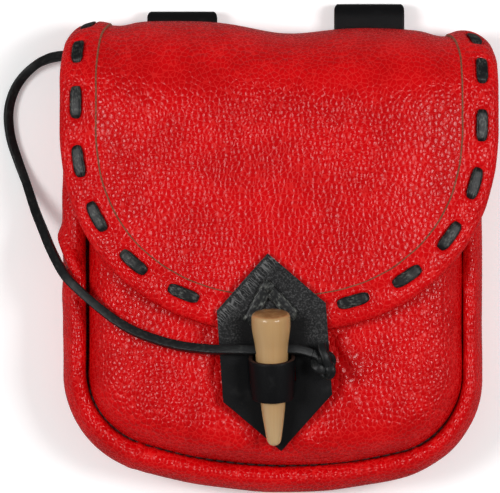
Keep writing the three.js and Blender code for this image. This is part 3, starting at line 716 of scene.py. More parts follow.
def thicken(piece, thickness):
    wall = piece.modifiers.new("Thickness", "SOLIDIFY")
    wall.thickness = thickness
    wall.offset = 0.0
    wall.use_even_offset = True
    wall.material_offset_rim = 1


def add_red(name, bm, node, thickness=None):
    """A piece of red leather with a raw edge. With a thickness, bm is the middle of the leather."""
    piece = add_piece(name, bm, ["Red grained leather", "Raw red edge"], [node])
    if thickness:
        thicken(piece, thickness)


def add_black(name, bm, finishes, node, thickness, rounding):
    """A piece of black leather with rounded edges. Its finishes are the face's and the cut edge's."""
    piece = add_piece(name, bm, finishes, [node], sharp=35)
    thicken(piece, thickness)
    bevel = piece.modifiers.new("Rounded edges", "BEVEL")
    bevel.width = rounding
    bevel.segments = 2
    bevel.limit_method = "ANGLE"
    bevel.angle_limit = math.radians(40)


def ring_section(width, thickness, sides, power=2.6):
    """Points of a rounded, flattened section, as pairs across and up."""
    points = []
    for k in range(sides):
        turn = 2 * math.pi * k / sides
        c, s = math.cos(turn), math.sin(turn)
        across = math.copysign(abs(c) ** (2 / power), c) * width / 2
        up = math.copysign(abs(s) ** (2 / power), s) * thickness / 2
        points.append((across, up))
    return points


def on_section(point, along, up, pair, width=1.0):
    """A point of a section set across a line: the pair says how far across and how far up."""
    across = along.cross(up).normalized()
    return point + across * pair[0] * width + across.cross(along) * pair[1]


def tube(points, ups, section, widths=None):
    """A section swept along points, each with the direction that is up there and a share of the width."""
    count_points, sides = len(points), len(section)

    def place(u, v):
        i = round(v * (count_points - 1))
        k = round(u * sides) % sides
        before, after = points[max(i - 1, 0)], points[min(i + 1, count_points - 1)]
        width = widths[i] if widths else 1.0
        return on_section(points[i], (after - before).normalized(), ups[i], section[k], width)

    girth = sum(math.dist(section[k - 1], section[k]) for k in range(sides))
    return grid(sides, count_points - 1, place, size=(girth, Track(points).length), closed=True)


def creased(creases):
    """A relief that sinks along each crease of a table."""

    def relief(co):
        depth = 0.0
        for crease in creases:
            dx, dy = co.x / MM - crease.x, co.y / MM - crease.y
            if abs(dx) > 3 * crease.length or abs(dy) > 3 * crease.length:
                continue
            turn = math.radians(crease.turn)
            along = dx * math.cos(turn) + dy * math.sin(turn)
            across = dy * math.cos(turn) - dx * math.sin(turn)
            depth += crease.depth * bell(along / crease.length) * bell(across / crease.width)
        return -depth * MM

    return relief


# Materials


class Nodes:
    """A new material's node tree, with short calls for the nodes that the materials are made of."""

    def __init__(self, name, roughness, specular=0.5, coordinates="Object"):
        self.material = bpy.data.materials.new(name)
        self.material.use_nodes = True
        self.tree = self.material.node_tree
        self.shader = self.tree.nodes["Principled BSDF"]
        self.fill(self.shader, {"Roughness": roughness, "Specular IOR Level": specular})
        self.coords = self.add("ShaderNodeTexCoord", {}, coordinates)

    def fill(self, node, inputs):
        for name, value in inputs.items():
            if isinstance(value, bpy.types.NodeSocket):
                self.tree.links.new(value, node.inputs[name])
            else:
                node.inputs[name].default_value = value
        return node

    def add(self, kind, inputs, output=0, **settings):
        """The named output of a new node."""
        node = self.tree.nodes.new(kind)
        for name, value in settings.items():
            setattr(node, name, value)
        return self.fill(node, inputs).outputs[output]

    def maths(self, operation, first, second=0.0, third=0.0, clamped=False):
        inputs = {0: first, 1: second, 2: third}
        return self.add("ShaderNodeMath", inputs, operation=operation, use_clamp=clamped)

    def times(self, first, second, clamped=False):
        return self.maths("MULTIPLY", first, second, clamped=clamped)

    def times_plus(self, first, second, third, clamped=False):
        return self.maths("MULTIPLY_ADD", first, second, third, clamped)

    def rest_of(self, value):
        return self.maths("SUBTRACT", 1.0, value)

    def ramp(self, value, low, high):
        inputs = {"Value": value, "From Min": low, "From Max": high}
        return self.add("ShaderNodeMapRange", inputs, "Result", interpolation_type="SMOOTHSTEP")

    def vector(self, operation, first, second, output="Vector"):
        return self.add("ShaderNodeVectorMath", {0: first, 1: second}, output, operation=operation)

    def part(self, axis):
        return self.add("ShaderNodeSeparateXYZ", {"Vector": self.coords}, axis)

    def noise(self, scale, detail=2.0, at=None, distortion=0.0, output="Fac"):
        inputs = {"Vector": at or self.coords, "Scale": scale, "Detail": detail, "Distortion": distortion}
        return self.add("ShaderNodeTexNoise", inputs, output)

    def cells(self, at, scale, feature="DISTANCE_TO_EDGE"):
        return self.add("ShaderNodeTexVoronoi", {"Vector": at, "Scale": scale}, "Distance", feature=feature)

    def warped(self, scale, amount):
        """Coordinates shifted by a soft noise, so that a pattern on them isn't regular."""
        centred = self.vector("SUBTRACT", self.noise(scale, 1.0, output="Color"), (0.5, 0.5, 0.5))
        return self.vector("ADD", self.coords, self.vector("MULTIPLY", centred, (amount, amount, amount)))

    def stretched(self, at, along):
        return self.add("ShaderNodeMapping", {"Vector": at, "Scale": (1.0, along, 1.0)}, "Vector")

    def mix(self, share_of_second, first, second):
        first, second = [rgba(item) if isinstance(item, tuple) else item for item in (first, second)]
        inputs = {"Factor": share_of_second, 6: first, 7: second}
        return self.add("ShaderNodeMix", inputs, 2, data_type="RGBA", clamp_factor=True)

    def finish(self, colour, height, strength, distance):
        """Links the colour and the bump, and returns the material."""
        relief = {"Height": height, "Strength": strength, "Distance": distance}
        bump = self.add("ShaderNodeBump", relief, "Normal")
        self.fill(self.shader, {"Base Color": colour, "Normal": bump})
        return self.material


def rgba(colour):
    return (*colour, 1.0)


def grained_leather(name, colours):
    """Red leather with a pebbled grain: low domes, and fine creases between them that catch the light. Their
    glint is also painted into the colour, as lighter lines along the creases.
    """
    shine, grain = 0.2, 540.0
    nodes = Nodes(name, shine, specular=0.2)
    slack = nodes.stretched(nodes.warped(230.0, 0.8 * MM), 0.85)
    from_crease = nodes.cells(slack, grain)
    creases = nodes.rest_of(nodes.ramp(from_crease, 0.0, 0.22))
    domes = nodes.maths("POWER", nodes.cells(slack, grain, "F1"), 2.0)
    sunken = nodes.times_plus(creases, 0.06, nodes.times(domes, 0.46))
    depth_here = nodes.times_plus(nodes.ramp(nodes.noise(30.0), 0.35, 0.65), 0.5, 0.6)
    height = nodes.times(nodes.times(sunken, depth_here), -1.0)
    height = nodes.times_plus(nodes.noise(2600.0), 0.02, height)

    mottle = nodes.noise(70.0, 3.0)
    ground = nodes.mix(nodes.ramp(mottle, 0.3, 0.7), colours.red_deep, colours.red)
    # Painted highlight: lighter lines along the creases, for the glint of the lights on the crease walls.
    lines = nodes.rest_of(nodes.ramp(from_crease, 0.02, 0.11))
    wear_and_sheen = nodes.times(lines, nodes.times_plus(mottle, 0.9, 0.1), clamped=True)
    nodes.fill(nodes.shader, {"Roughness": nodes.times_plus(creases, 0.1, shine)})
    return nodes.finish(nodes.mix(wear_and_sheen, ground, colours.red_crease_glint), height, 1.0, 1.0 * MM)


def raw_edge(name, colours):
    """The fibrous cut edge of leather."""
    base = getattr(colours, EDGE_COLOURS[name])
    darker = tuple(part * 0.45 for part in base)
    nodes = Nodes(name, 0.9, specular=0.2)
    fibres = nodes.noise(1400.0, 3.0)
    return nodes.finish(nodes.mix(nodes.ramp(fibres, 0.35, 0.7), darker, base), fibres, 0.6, 0.15 * MM)


def black_surface(nodes, shine):
    """The scuffs and the height of smooth black leather. Its roughness is clouded too."""
    pores = nodes.ramp(nodes.cells(nodes.warped(300.0, 0.8 * MM), 1500.0), 0.0, 0.25)
    clouds = nodes.noise(120.0, 4.0)
    nodes.fill(nodes.shader, {"Roughness": nodes.times_plus(clouds, 0.22, shine - 0.08)})
    height = nodes.times_plus(clouds, 0.6, nodes.times(pores, 0.4))
    return nodes.times(nodes.ramp(clouds, 0.55, 0.8), 0.12), height


def smooth_leather(name, colours):
    """Smooth black leather with fine pores and light scuffs."""
    shine = 0.42
    nodes = Nodes(name, shine, specular=0.14)
    wear_and_sheen, height = black_surface(nodes, shine)
    return nodes.finish(nodes.mix(wear_and_sheen, colours.black, colours.scuff_and_sheen), height, 0.5, 0.12 * MM)


def plate_leather(name, colours):
    """The clasp plate's leather: greyed above its bend by a painted sheen, the reflection of the light from
    above, and crackled along the edge from its left shoulder to its top.
    """
    clasp = values(bpy.context.scene.pouch_clasp)
    shine = 0.5
    nodes = Nodes(name, shine, specular=0.2)
    wear_and_sheen, height = black_surface(nodes, shine)
    turn = Matrix.Rotation(clasp.plate_lean, 2)
    centre = Vector((clasp.plate_x, clasp.plate_y))
    corner = centre + turn @ Vector((-clasp.plate_width / 2, clasp.plate_shoulder))
    top = centre + turn @ Vector((0.0, clasp.plate_length / 2))
    edge = (top - corner).normalized()
    from_corner = nodes.vector("SUBTRACT", nodes.coords, (*corner, 0.0))
    along = nodes.vector("DOT_PRODUCT", from_corner, (*edge, 0.0), "Value")
    inward = nodes.vector("DOT_PRODUCT", from_corner, (edge.y, -edge.x, 0.0), "Value")
    shifted = nodes.times_plus(nodes.noise(500.0), 1.1 * MM, along)
    lines = nodes.add("ShaderNodeCombineXYZ", {"X": shifted, "Y": nodes.times(inward, 0.14)})
    band = nodes.times(nodes.ramp(inward, 6.5 * MM, 3.0 * MM), nodes.ramp(inward, 0.6 * MM, 1.4 * MM))
    crack = nodes.times(nodes.rest_of(nodes.ramp(nodes.cells(lines, 800.0), 0.01, 0.1)), band)

    # Painted shadow: beside the toggle's head the sheen is left out, for the shadow that the horn and keeper
    # cast on the plate.
    aside = nodes.maths("ABSOLUTE", nodes.maths("SUBTRACT", nodes.part("X"), clasp.x))
    beside_toggle = nodes.ramp(aside, 10.5 * MM, 14.5 * MM)
    above_toggle = nodes.ramp(nodes.part("Y"), -28.5 * MM, -25.5 * MM)
    outside_horn_shadow = nodes.times_plus(nodes.maths("MAXIMUM", beside_toggle, above_toggle), 0.9, 0.1)
    # Painted sheen: grey above the plate's bend, standing for the reflection of the light from above.
    sheen_above_bend = nodes.times(nodes.ramp(nodes.part("Y"), -38 * MM, -34 * MM), outside_horn_shadow)
    grey = nodes.times_plus(nodes.ramp(nodes.noise(1500.0), 0.45, 0.7), 0.44, 0.03)
    wear_and_sheen = nodes.times_plus(sheen_above_bend, grey, wear_and_sheen, clamped=True)
    height = nodes.times_plus(crack, -0.9, height)
    ground = nodes.mix(wear_and_sheen, colours.black, colours.scuff_and_sheen)
    return nodes.finish(nodes.mix(crack, ground, colours.crackle), height, 0.5, 0.12 * MM)


def lace_leather(name, colours):
    """Cut leather lace with paler fibres where it is worn. Reads the UV map in metres."""
    nodes = Nodes(name, 0.42, specular=0.25, coordinates="UV")
    fibres = nodes.noise(2400.0, 3.0, at=nodes.stretched(nodes.coords, 0.22))
    clouds = nodes.noise(260.0)
    tone = nodes.times(nodes.ramp(fibres, 0.42, 0.7), nodes.ramp(clouds, 0.35, 0.65))
    wear_and_sheen = nodes.times(tone, LACE_WEAR[name])
    height = nodes.times_plus(clouds, 0.5, fibres)
    return nodes.finish(nodes.mix(wear_and_sheen, colours.lace, colours.lace_edge), height, 0.55, 0.12 * MM)


def polished_horn(name, colours):
    """Polished horn, streaked along its length, paler at the tip. Its UV map runs round it and along it."""
    nodes = Nodes(name, 0.26, coordinates="UV")
    nodes.fill(nodes.shader, {
        "Coat Weight": 0.35,
        "Coat Roughness": 0.12,
        "Subsurface Weight": 0.12,
        "Subsurface Radius": (1.0, 0.55, 0.25),
        "Subsurface Scale": 1.2 * MM,
    })
    long_way = nodes.stretched(nodes.coords, 0.045)
    streaks = nodes.noise(420.0, 3.0, at=long_way, distortion=0.4)
    wide = nodes.times(nodes.ramp(nodes.noise(130.0, 1.0, at=long_way), 0.35, 0.65), 0.35)
    streak = nodes.times_plus(nodes.ramp(streaks, 0.35, 0.7), 0.5, wide)
    along = nodes.part("Y")
    pale_tip = nodes.ramp(along, 26 * MM, 4 * MM)
    pale = nodes.times_plus(pale_tip, 0.55, nodes.times(streak, 0.75), clamped=True)
    side = nodes.mix(pale, colours.horn, colours.horn_light)
    rings = nodes.noise(260.0, at=nodes.add("ShaderNodeTexCoord", {}, "Object"))
    end = nodes.mix(nodes.ramp(rings, 0.35, 0.7), colours.horn_dark, colours.horn)
    sawn = nodes.ramp(along, 52.0 * MM, 53.0 * MM)
    return nodes.finish(nodes.mix(sawn, side, end), streaks, 0.12, 0.1 * MM)


def thread(name, colours):
    nodes = Nodes(name, 0.6)
    twist = nodes.noise(2200.0)
    return nodes.finish(nodes.mix(twist, colours.black, colours.lace), twist, 0.4, 0.1 * MM)


EDGE_COLOURS = {"Raw red edge": "raw_edge", "Brown cut edge": "brown_edge"}

# How worn each lace is: 0 for all black
LACE_WEAR = {"Black lace": 0.6, "Worn thong": 1.5, "Black cord": 0.12}

MATERIALS = {
    "Red grained leather": grained_leather,
    "Raw red edge": raw_edge,
    "Smooth black leather": smooth_leather,
    "Clasp plate leather": plate_leather,
    "Brown cut edge": raw_edge,
    "Black lace": lace_leather,
    "Worn thong": lace_leather,
    "Black cord": lace_leather,
    "Polished horn": polished_horn,
    "Black thread": thread,
}


def material(name):
    """The material of that name, made when it is first asked for."""
    found = bpy.data.materials.get(name)
    if found is None:
        found = MATERIALS[name](name, values(bpy.context.scene.pouch_colours))
    return found


# Operators


class POUCH_OT_stage(bpy.types.Operator):
    """Set up the floor, the lights and the camera over the pouch"""

    bl_idname = "pouch.stage"
    bl_label = "Stage"

    def execute(self, context):
        stage = values(context.scene.pouch_stage)
        self.add_camera(context, stage)
        self.add_floor(context, stage, values(context.scene.pouch_colours))
        for name, x in (("Left softbox", -0.85), ("Right softbox", 0.85)):
            self.add_light(context, name, (x, 0.1, 1.2), (0.4, 0.5), stage.side_light)
        strip = self.add_light(context, "Overhead strip", (0.0, 0.15, 3.2), (2.8, 0.7), stage.overhead_light)
        strip.visible_glossy = False
        self.add_sky(context, stage)
        context.scene.view_settings.view_transform = "Standard"
        return {"FINISHED"}

    def add_sky(self, context, stage):
        world = bpy.data.worlds.new("Studio")
        world.use_nodes = True
        sky = world.node_tree.nodes["Background"]
        sky.inputs["Color"].default_value = (1.0, 1.0, 1.0, 1.0)
        sky.inputs["Strength"].default_value = stage.sky
        context.scene.world = world

    def add_camera(self, context, stage):
        data = bpy.data.cameras.new("Camera")
        width = stage.scale * PHOTO_WIDTH * MM
        data.lens = data.sensor_width * (stage.distance - stage.view_z) / width
        data.clip_start, data.clip_end = 0.1, 20.0
        camera = bpy.data.objects.new("Camera", data)
        camera.location = (stage.view_x, stage.view_y, stage.distance)
        context.scene.collection.objects.link(camera)
        context.scene.camera = camera

    def add_floor(self, context, stage, colours):
        bm = bmesh.new()
        bmesh.ops.create_grid(bm, x_segments=2, y_segments=2, size=3.0)
        mesh = bpy.data.meshes.new("Floor")
        bm.to_mesh(mesh)
        bm.free()
        paper, colour = Nodes("Paper floor", 0.9, specular=0.1), rgba(colours.floor)
        glow = {"Emission Color": colour, "Emission Strength": stage.floor_glow}
        paper.fill(paper.shader, {"Base Color": colour, **glow})
        mesh.materials.append(paper.material)
        floor = bpy.data.objects.new("Floor", mesh)
        floor.location.z = -0.1 * MM
        floor.visible_glossy = False
        context.scene.collection.objects.link(floor)

    def add_light(self, context, name, place, size, power):
        data = bpy.data.lights.new(name, "AREA")
        data.shape = "RECTANGLE"
        data.size, data.size_y = size
        data.energy = power
        light = bpy.data.objects.new(name, data)
        light.location = place
        light.rotation_euler = (-Vector(place)).to_track_quat("-Z", "Y").to_euler()
        context.scene.collection.objects.link(light)
        return light


class POUCH_OT_cord(bpy.types.Operator):
    """Lay the toggle's cord along its route and tie its knot"""

    bl_idname = "pouch.cord"
    bl_label = "Cord and knot"

    def execute(self, context):
        clasp = values(context.scene.pouch_clasp)
        section = ring_section(clasp.cord_width, clasp.cord_thickness, 24, power=7.0)
        route = [Vector(point) * MM for point in CORD_ROUTE]
        steps, fine_steps = 260, 1200
        track = Track([smooth_line(route, k / fine_steps) for k in range(fine_steps + 1)])
        points = [track.at(track.length * k / steps) for k in range(steps + 1)]
        ups = [self.up_at(k / steps) for k in range(steps + 1)]
        bm = tube(points, ups, section)
        cord = add_piece("cord_of_toggle", bm, ["Black cord"], ["toggle_cord"])
        knot = self.add_knot(clasp)
        tuple(points[0])
        return {"FINISHED"}

    def up_at(self, at):
        """The flat side of the cord faces the front, and turns a little along its way."""
        turn = 0.45 * math.sin(at * 9.0)
        start = 1 - smoothstep(at, 0.0, 0.08)
        return Vector((math.sin(turn) - 0.3 * start, 0.25 + 0.6 * start, 1.0)).normalized()

    def add_knot(self, clasp):
        """A tight overhand knot with a short cut tail, and the neck of cord that runs into it."""
        turned = Matrix.Rotation(clasp.knot_turn, 3, "Z")
        middle = Vector(KNOT_MIDDLE) * MM
        steps, sides = 120, 14
        points = []
        for k in range(steps):
            turn = 2 * math.pi * k / steps
            across, along, up = KNOT_REACH
            loop = Vector((
                across * (math.sin(turn) + 2 * math.sin(2 * turn)),
                along * (math.cos(turn) - 2 * math.cos(2 * turn)),
                up * math.sin(3 * turn),
            )) * MM
            points.append(middle + turned @ loop)
        section = ring_section(clasp.knot_width, clasp.cord_thickness, sides, power=3.0)

        def place(u, v):
            i = round(v * steps) % steps
            along = (points[(i + 1) % steps] - points[i - 1]).normalized()
            return on_section(points[i], along, Vector((0.0, 0.0, 1.0)), section[round(u * sides) % sides])

        girth, around = 12 * MM, 60 * MM
        bm = grid(sides, steps, place, size=(girth, around), closed=True)
        tail_section = ring_section(clasp.cord_width, 2.7 * MM, sides, power=3.4)
        neck_section = ring_section(clasp.cord_width, clasp.cord_thickness, sides, power=7.0)
        for route, up, section in (
            (KNOT_TAIL, Vector((0.2, 0.1, 1.0)), tail_section),
            (KNOT_NECK, self.up_at(1.0), neck_section),
        ):
            strand = [Vector(point) * MM for point in route]
            strand = [smooth_line(strand, k / 20) for k in range(21)]
            join(bm, tube(strand, [up] * len(strand), section))
        return add_piece("knot_of_cord", bm, ["Black cord"], ["cord_knot"])


class POUCH_OT_bag(bpy.types.Operator):
    """Make the front panel and the gusset with its roll, and sew them together"""

    bl_idname = "pouch.bag"
    bl_label = "Bag"

    def execute(self, context):
        leather = Leather(context.scene)
        self.add_front(leather)
        self.add_gusset(leather)
        self.add_seam(leather)
        return {"FINISHED"}

    def add_front(self, leather):
        body, outline = leather.body, leather.outline
        middle = Vector((body.centre_x, body.mouth_y))
        around, rings, turned_rings = 300, 60, 3
        half_gap = (body.gap + body.leather) / 2
        rounded_share = 0.42
        gape_grows = (-70 * MM, -35 * MM)

        def place(u, v):
            distance = outline.length * (1 - u)
            point, out = outline.at(distance), outline.side(distance)
            gape = body.seam_gape * smoothstep(-out.x, 0.3, 1.0) * smoothstep(point.y, *gape_grows)
            seam = point - out * (leather.seam_inset(out) + half_gap + gape)
            ring = v * (rings + turned_rings)
            if ring < turned_rings:
                depth = body.allowance * (1 - ring / turned_rings)
                return Vector((*seam, leather.seam_height(seam.y) - body.valley - depth))
            share_in = (ring - turned_rings) / rings
            rounded = min(body.rounding, (middle - seam).length * 0.9)
            if share_in < rounded_share:
                from_seam = rounded * (1 - math.cos(math.pi / 2 * share_in / rounded_share))
                at = seam - out * from_seam
            else:
                from_seam = body.rounding
                at = (seam - out * rounded).lerp(middle, (share_in - rounded_share) / (1 - rounded_share))
            return Vector((*at, leather.panel_height(at.x, at.y, from_seam)))

        bm = grid(around, rings + turned_rings, place)
        bmesh.ops.remove_doubles(bm, verts=bm.verts, dist=1e-6)
        crease = creased(PANEL_CREASES)
        push(bm, lambda co: crease(co) + 0.28 * MM * wander(co.x * 55, co.y * 55, 4.0))
        add_red("front_panel_leather", bm, "front_panel", body.leather)

    def add_gusset(self, leather):
        body, outline = leather.body, leather.outline
        half, half_gap = body.leather / 2, (body.gap + body.leather) / 2

        def section(distance):
            point, out = outline.at(distance), outline.side(distance)
            seam = leather.seam_inset(out)
            low = leather.back_height(point.y) + body.leather + body.gap + half
            high = leather.seam_height(point.y)
            swell = 1 + 0.06 * wander(distance * 45, 3.0, 0.0)
            rows = [(body.back_seam + 6 * MM, low), (body.back_seam - 1 * MM, low)]
            for row in GUSSET:
                swollen = row.height * (swell if row.height > 0.9 else 1)
                rows.append((half + row.inset * seam, lerp(low, high, swollen)))
            for depth in (body.valley, body.valley + body.allowance):
                rows.append((seam - half_gap, high - depth))
            return [Vector((*(point - out * inset), z)) for inset, z in rows]

        around, across = 330, 40
        sections = [section(outline.length * k / around) for k in range(around + 1)]
        bm = grid(across, around, lambda u, v: smooth_line(sections[round(v * around)], u))
        crease = creased(ROLL_CREASES)
        push(bm, lambda co: crease(co) + 0.45 * MM * wander(*(co * 60)))
        add_red("gusset_leather", bm, "gusset", body.leather)

    def add_seam(self, leather):
        """Stitches at the bottom of the valley between the roll and the front panel."""
        body, outline = leather.body, leather.outline
        pitch, stitch, radius = 4.2 * MM, 3.3 * MM, 0.42 * MM
        bm = bmesh.new()
        for k in range(int(outline.length / pitch)):
            distance = (k + 0.5) * pitch
            point, out = outline.at(distance), outline.side(distance)
            at = point - out * leather.seam_inset(out)
            z = leather.seam_height(at.y) - body.valley + 0.2 * MM
            turn = Vector((*outline.along(distance), 0.0)).to_track_quat("Z", "Y").to_matrix().to_4x4()
            matrix = Matrix.Translation((*at, z)) @ turn @ Matrix.Diagonal((1, 1, stitch / radius / 2, 1))
            bmesh.ops.create_uvsphere(bm, u_segments=8, v_segments=6, radius=radius, matrix=matrix)
        add_piece("seam_thread", bm, ["Black thread"])


class POUCH_OT_flap(bpy.types.Operator):
    """Make the back and flap from one sheet, bind its edge and lace the binding"""

    bl_idname = "pouch.flap"
    bl_label = "Flap"

    def execute(self, context):
        leather = Leather(context.scene)
        self.add_sheet(leather)
        self.add_binding(leather)
        self.add_lace(leather)
        return {"FINISHED"}

    def add_sheet(self, leather):
        """The back and flap, in rows across the flat leather that end at the back's or the flap's outline."""
        body, flap, back = leather.body, leather.flap, leather.back_line
        inset = 1.8 * MM
        lowest = min(range(len(back)), key=lambda i: back[i].y)
        start = leather.back_along(back[lowest].y + 0.15 * MM)
        end = leather.front_along(flap.tip_y) - inset - 0.1 * MM
        flap_side = [leather.inside_edge(distance, inset) for distance in leather.edge.reach]
        tip = max(range(len(flap_side)), key=lambda i: flap_side[i].y)

        def crossing(points, height):
            for a, b in zip(points, points[1:]):
                if (a.y - height) * (b.y - height) <= 0 and a.y != b.y:
                    return lerp(a.x, b.x, (height - a.y) / (b.y - a.y))
            return points[-1].x

        def sides(s):
            y = s - leather.back_along(0.0)
            if s >= -flap.binding_tail:
                x = crossing(flap_side[: tip + 1], s)
                return -abs(x), abs(x)
            if y < body.mouth_y:
                return crossing(back[: lowest + 1], y), crossing(back[lowest:], y)
            t = smoothstep(s, -flap.merge_length, -flap.binding_tail)
            side = abs(flap_side[0].x)
            return lerp(back[0].x, -side, t), lerp(back[-1].x, side, t)

        columns, rows = 104, 230
        crowding = 0.8 / (2 * math.pi)
        stations = []
        for k in range(rows + 1):
            v = k / rows
            s = lerp(start, end, v - crowding * math.sin(2 * math.pi * v))
            stations.append((s, *sides(s)))

        def place(u, v):
            s, left, right = stations[round(v * rows)]
            return leather.sheet_point(lerp(right, left, u), s)

        add_red("back_and_flap_leather", grid(columns, rows, place), "back_and_flap", body.leather)

    def binding_section(self, leather):
        """The binding's section as insets and heights in millimetres: its outer side, then its inner side."""
        steps = 26
        rows = [Vector(row) for row in BINDING_TOP]
        top = [smooth_line(rows, k / steps) for k in range(steps + 1)]
        under_width, wall = leather.flap.binding_under / MM, leather.flap.binding_leather / MM
        under = [Vector((p.x, BINDING_UNDER * p.y)) for p in reversed(top[:-1]) if p.x < under_width]
        outer = top + under
        inner = []
        for k in range(len(outer) - 1, -1, -1):
            before, after = outer[max(k - 1, 0)], outer[min(k + 1, len(outer) - 1)]
            along = (after - before).normalized()
            inner.append(outer[k] + Vector((-along.y, along.x)) * wall)
        inner[-1] = Vector(BINDING_LIP)
        return outer, inner

    def add_binding(self, leather):
        edge = leather.edge
        outer, inner = self.binding_section(leather)
        section = outer + inner
        sides = len(section)
        raw_edges = {len(outer) - 1, sides - 1}

        def place(u, v):
            inset, height = section[round(u * sides) % sides]
            distance = edge.length * v
            if height > 0.5:
                height += self.puff(leather, distance, inset * MM) / MM * smoothstep(height, 0.5, 1.5)
            wave = 0.25 * wander(distance * 90, 0.0, 9.0) if inset > 12 or inset < 2 else 0.0
            return leather.on_sheet(leather.inside_edge(distance, (inset + wave) * MM), height * MM)

        def finish(u, v):
            return 1 if int(u * sides) in raw_edges else 0

        bm = grid(sides, int(edge.length / (0.85 * MM)), place, closed=True, finish=finish)
        add_red("flap_binding_leather", bm, "flap_binding")

    def puff(self, leather, distance, inset):
        """How far the lacing pulls the binding in, and how far the leather swells between the stitches."""
        flap = leather.flap
        _, offset = leather.stitch_at(leather.lace_distance(distance))
        across = inset - leather.lace_inset(distance)
        reach, half = flap.lace_stitch / 2, flap.lace_width / 2
        from_edge = math.hypot(max(0.0, abs(offset) - (reach - half)), across) - half
        groove = 1 - smoothstep(from_edge, -0.3 * MM, 0.8 * MM)
        swell = 0.4 * MM * bell(across / (4.5 * MM)) * smoothstep(from_edge, 0.0, 3.0 * MM)
        swell += 0.3 * MM * wander(distance * 70, inset * 70, 2.0)
        return (swell - 1.1 * MM * groove) * (1 - smoothstep(inset, 11 * MM, 13 * MM))

    def add_lace(self, leather):
        flap, lace = leather.flap, leather.lace
        reach = flap.lace_stitch / 2
        end_room = 0.5 * MM
        beyond = (flap.lace_count - 1) * flap.lace_pitch + reach + 1.5 * MM
        first = max(lace.length / 2 + flap.lace_left - beyond, end_room)
        last = min(lace.length / 2 + flap.lace_right + beyond, lace.length - end_room)
        steps = int((last - first) / (0.7 * MM))
        over, under = 2.25 * MM, 3.4 * MM
        points, ups, widths = [], [], []
        for k in range(steps + 1):
            along = lerp(first, last, k / steps)
            number, offset = leather.stitch_at(along)
            drift = 0.25 * MM * wander(number * 3.7, offset * 40, 5.0)
            at = lace.at(along) + lace.side(along) * drift
            down = smoothstep(abs(offset), reach - 1.2 * MM, reach + 1.4 * MM)
            bulge = 0.15 * MM * bell(offset / (4 * MM))
            points.append(leather.on_sheet(at, lerp(over + bulge, -under, down)))
            ups.append(leather.sheet_normal(at.x, at.y))
            past = clamp((abs(offset) - reach + 3.6 * MM) / (3.9 * MM))
            widths.append(max(0.35, 1.03 * math.sqrt(1 - past * past)))
        section = ring_section(flap.lace_width, flap.lace_thickness, 16, power=3.2)
        bm = tube(points, ups, section, widths)
        add_piece("flap_lace_strap", bm, ["Black lace"], ["flap_lace"], sharp=80)


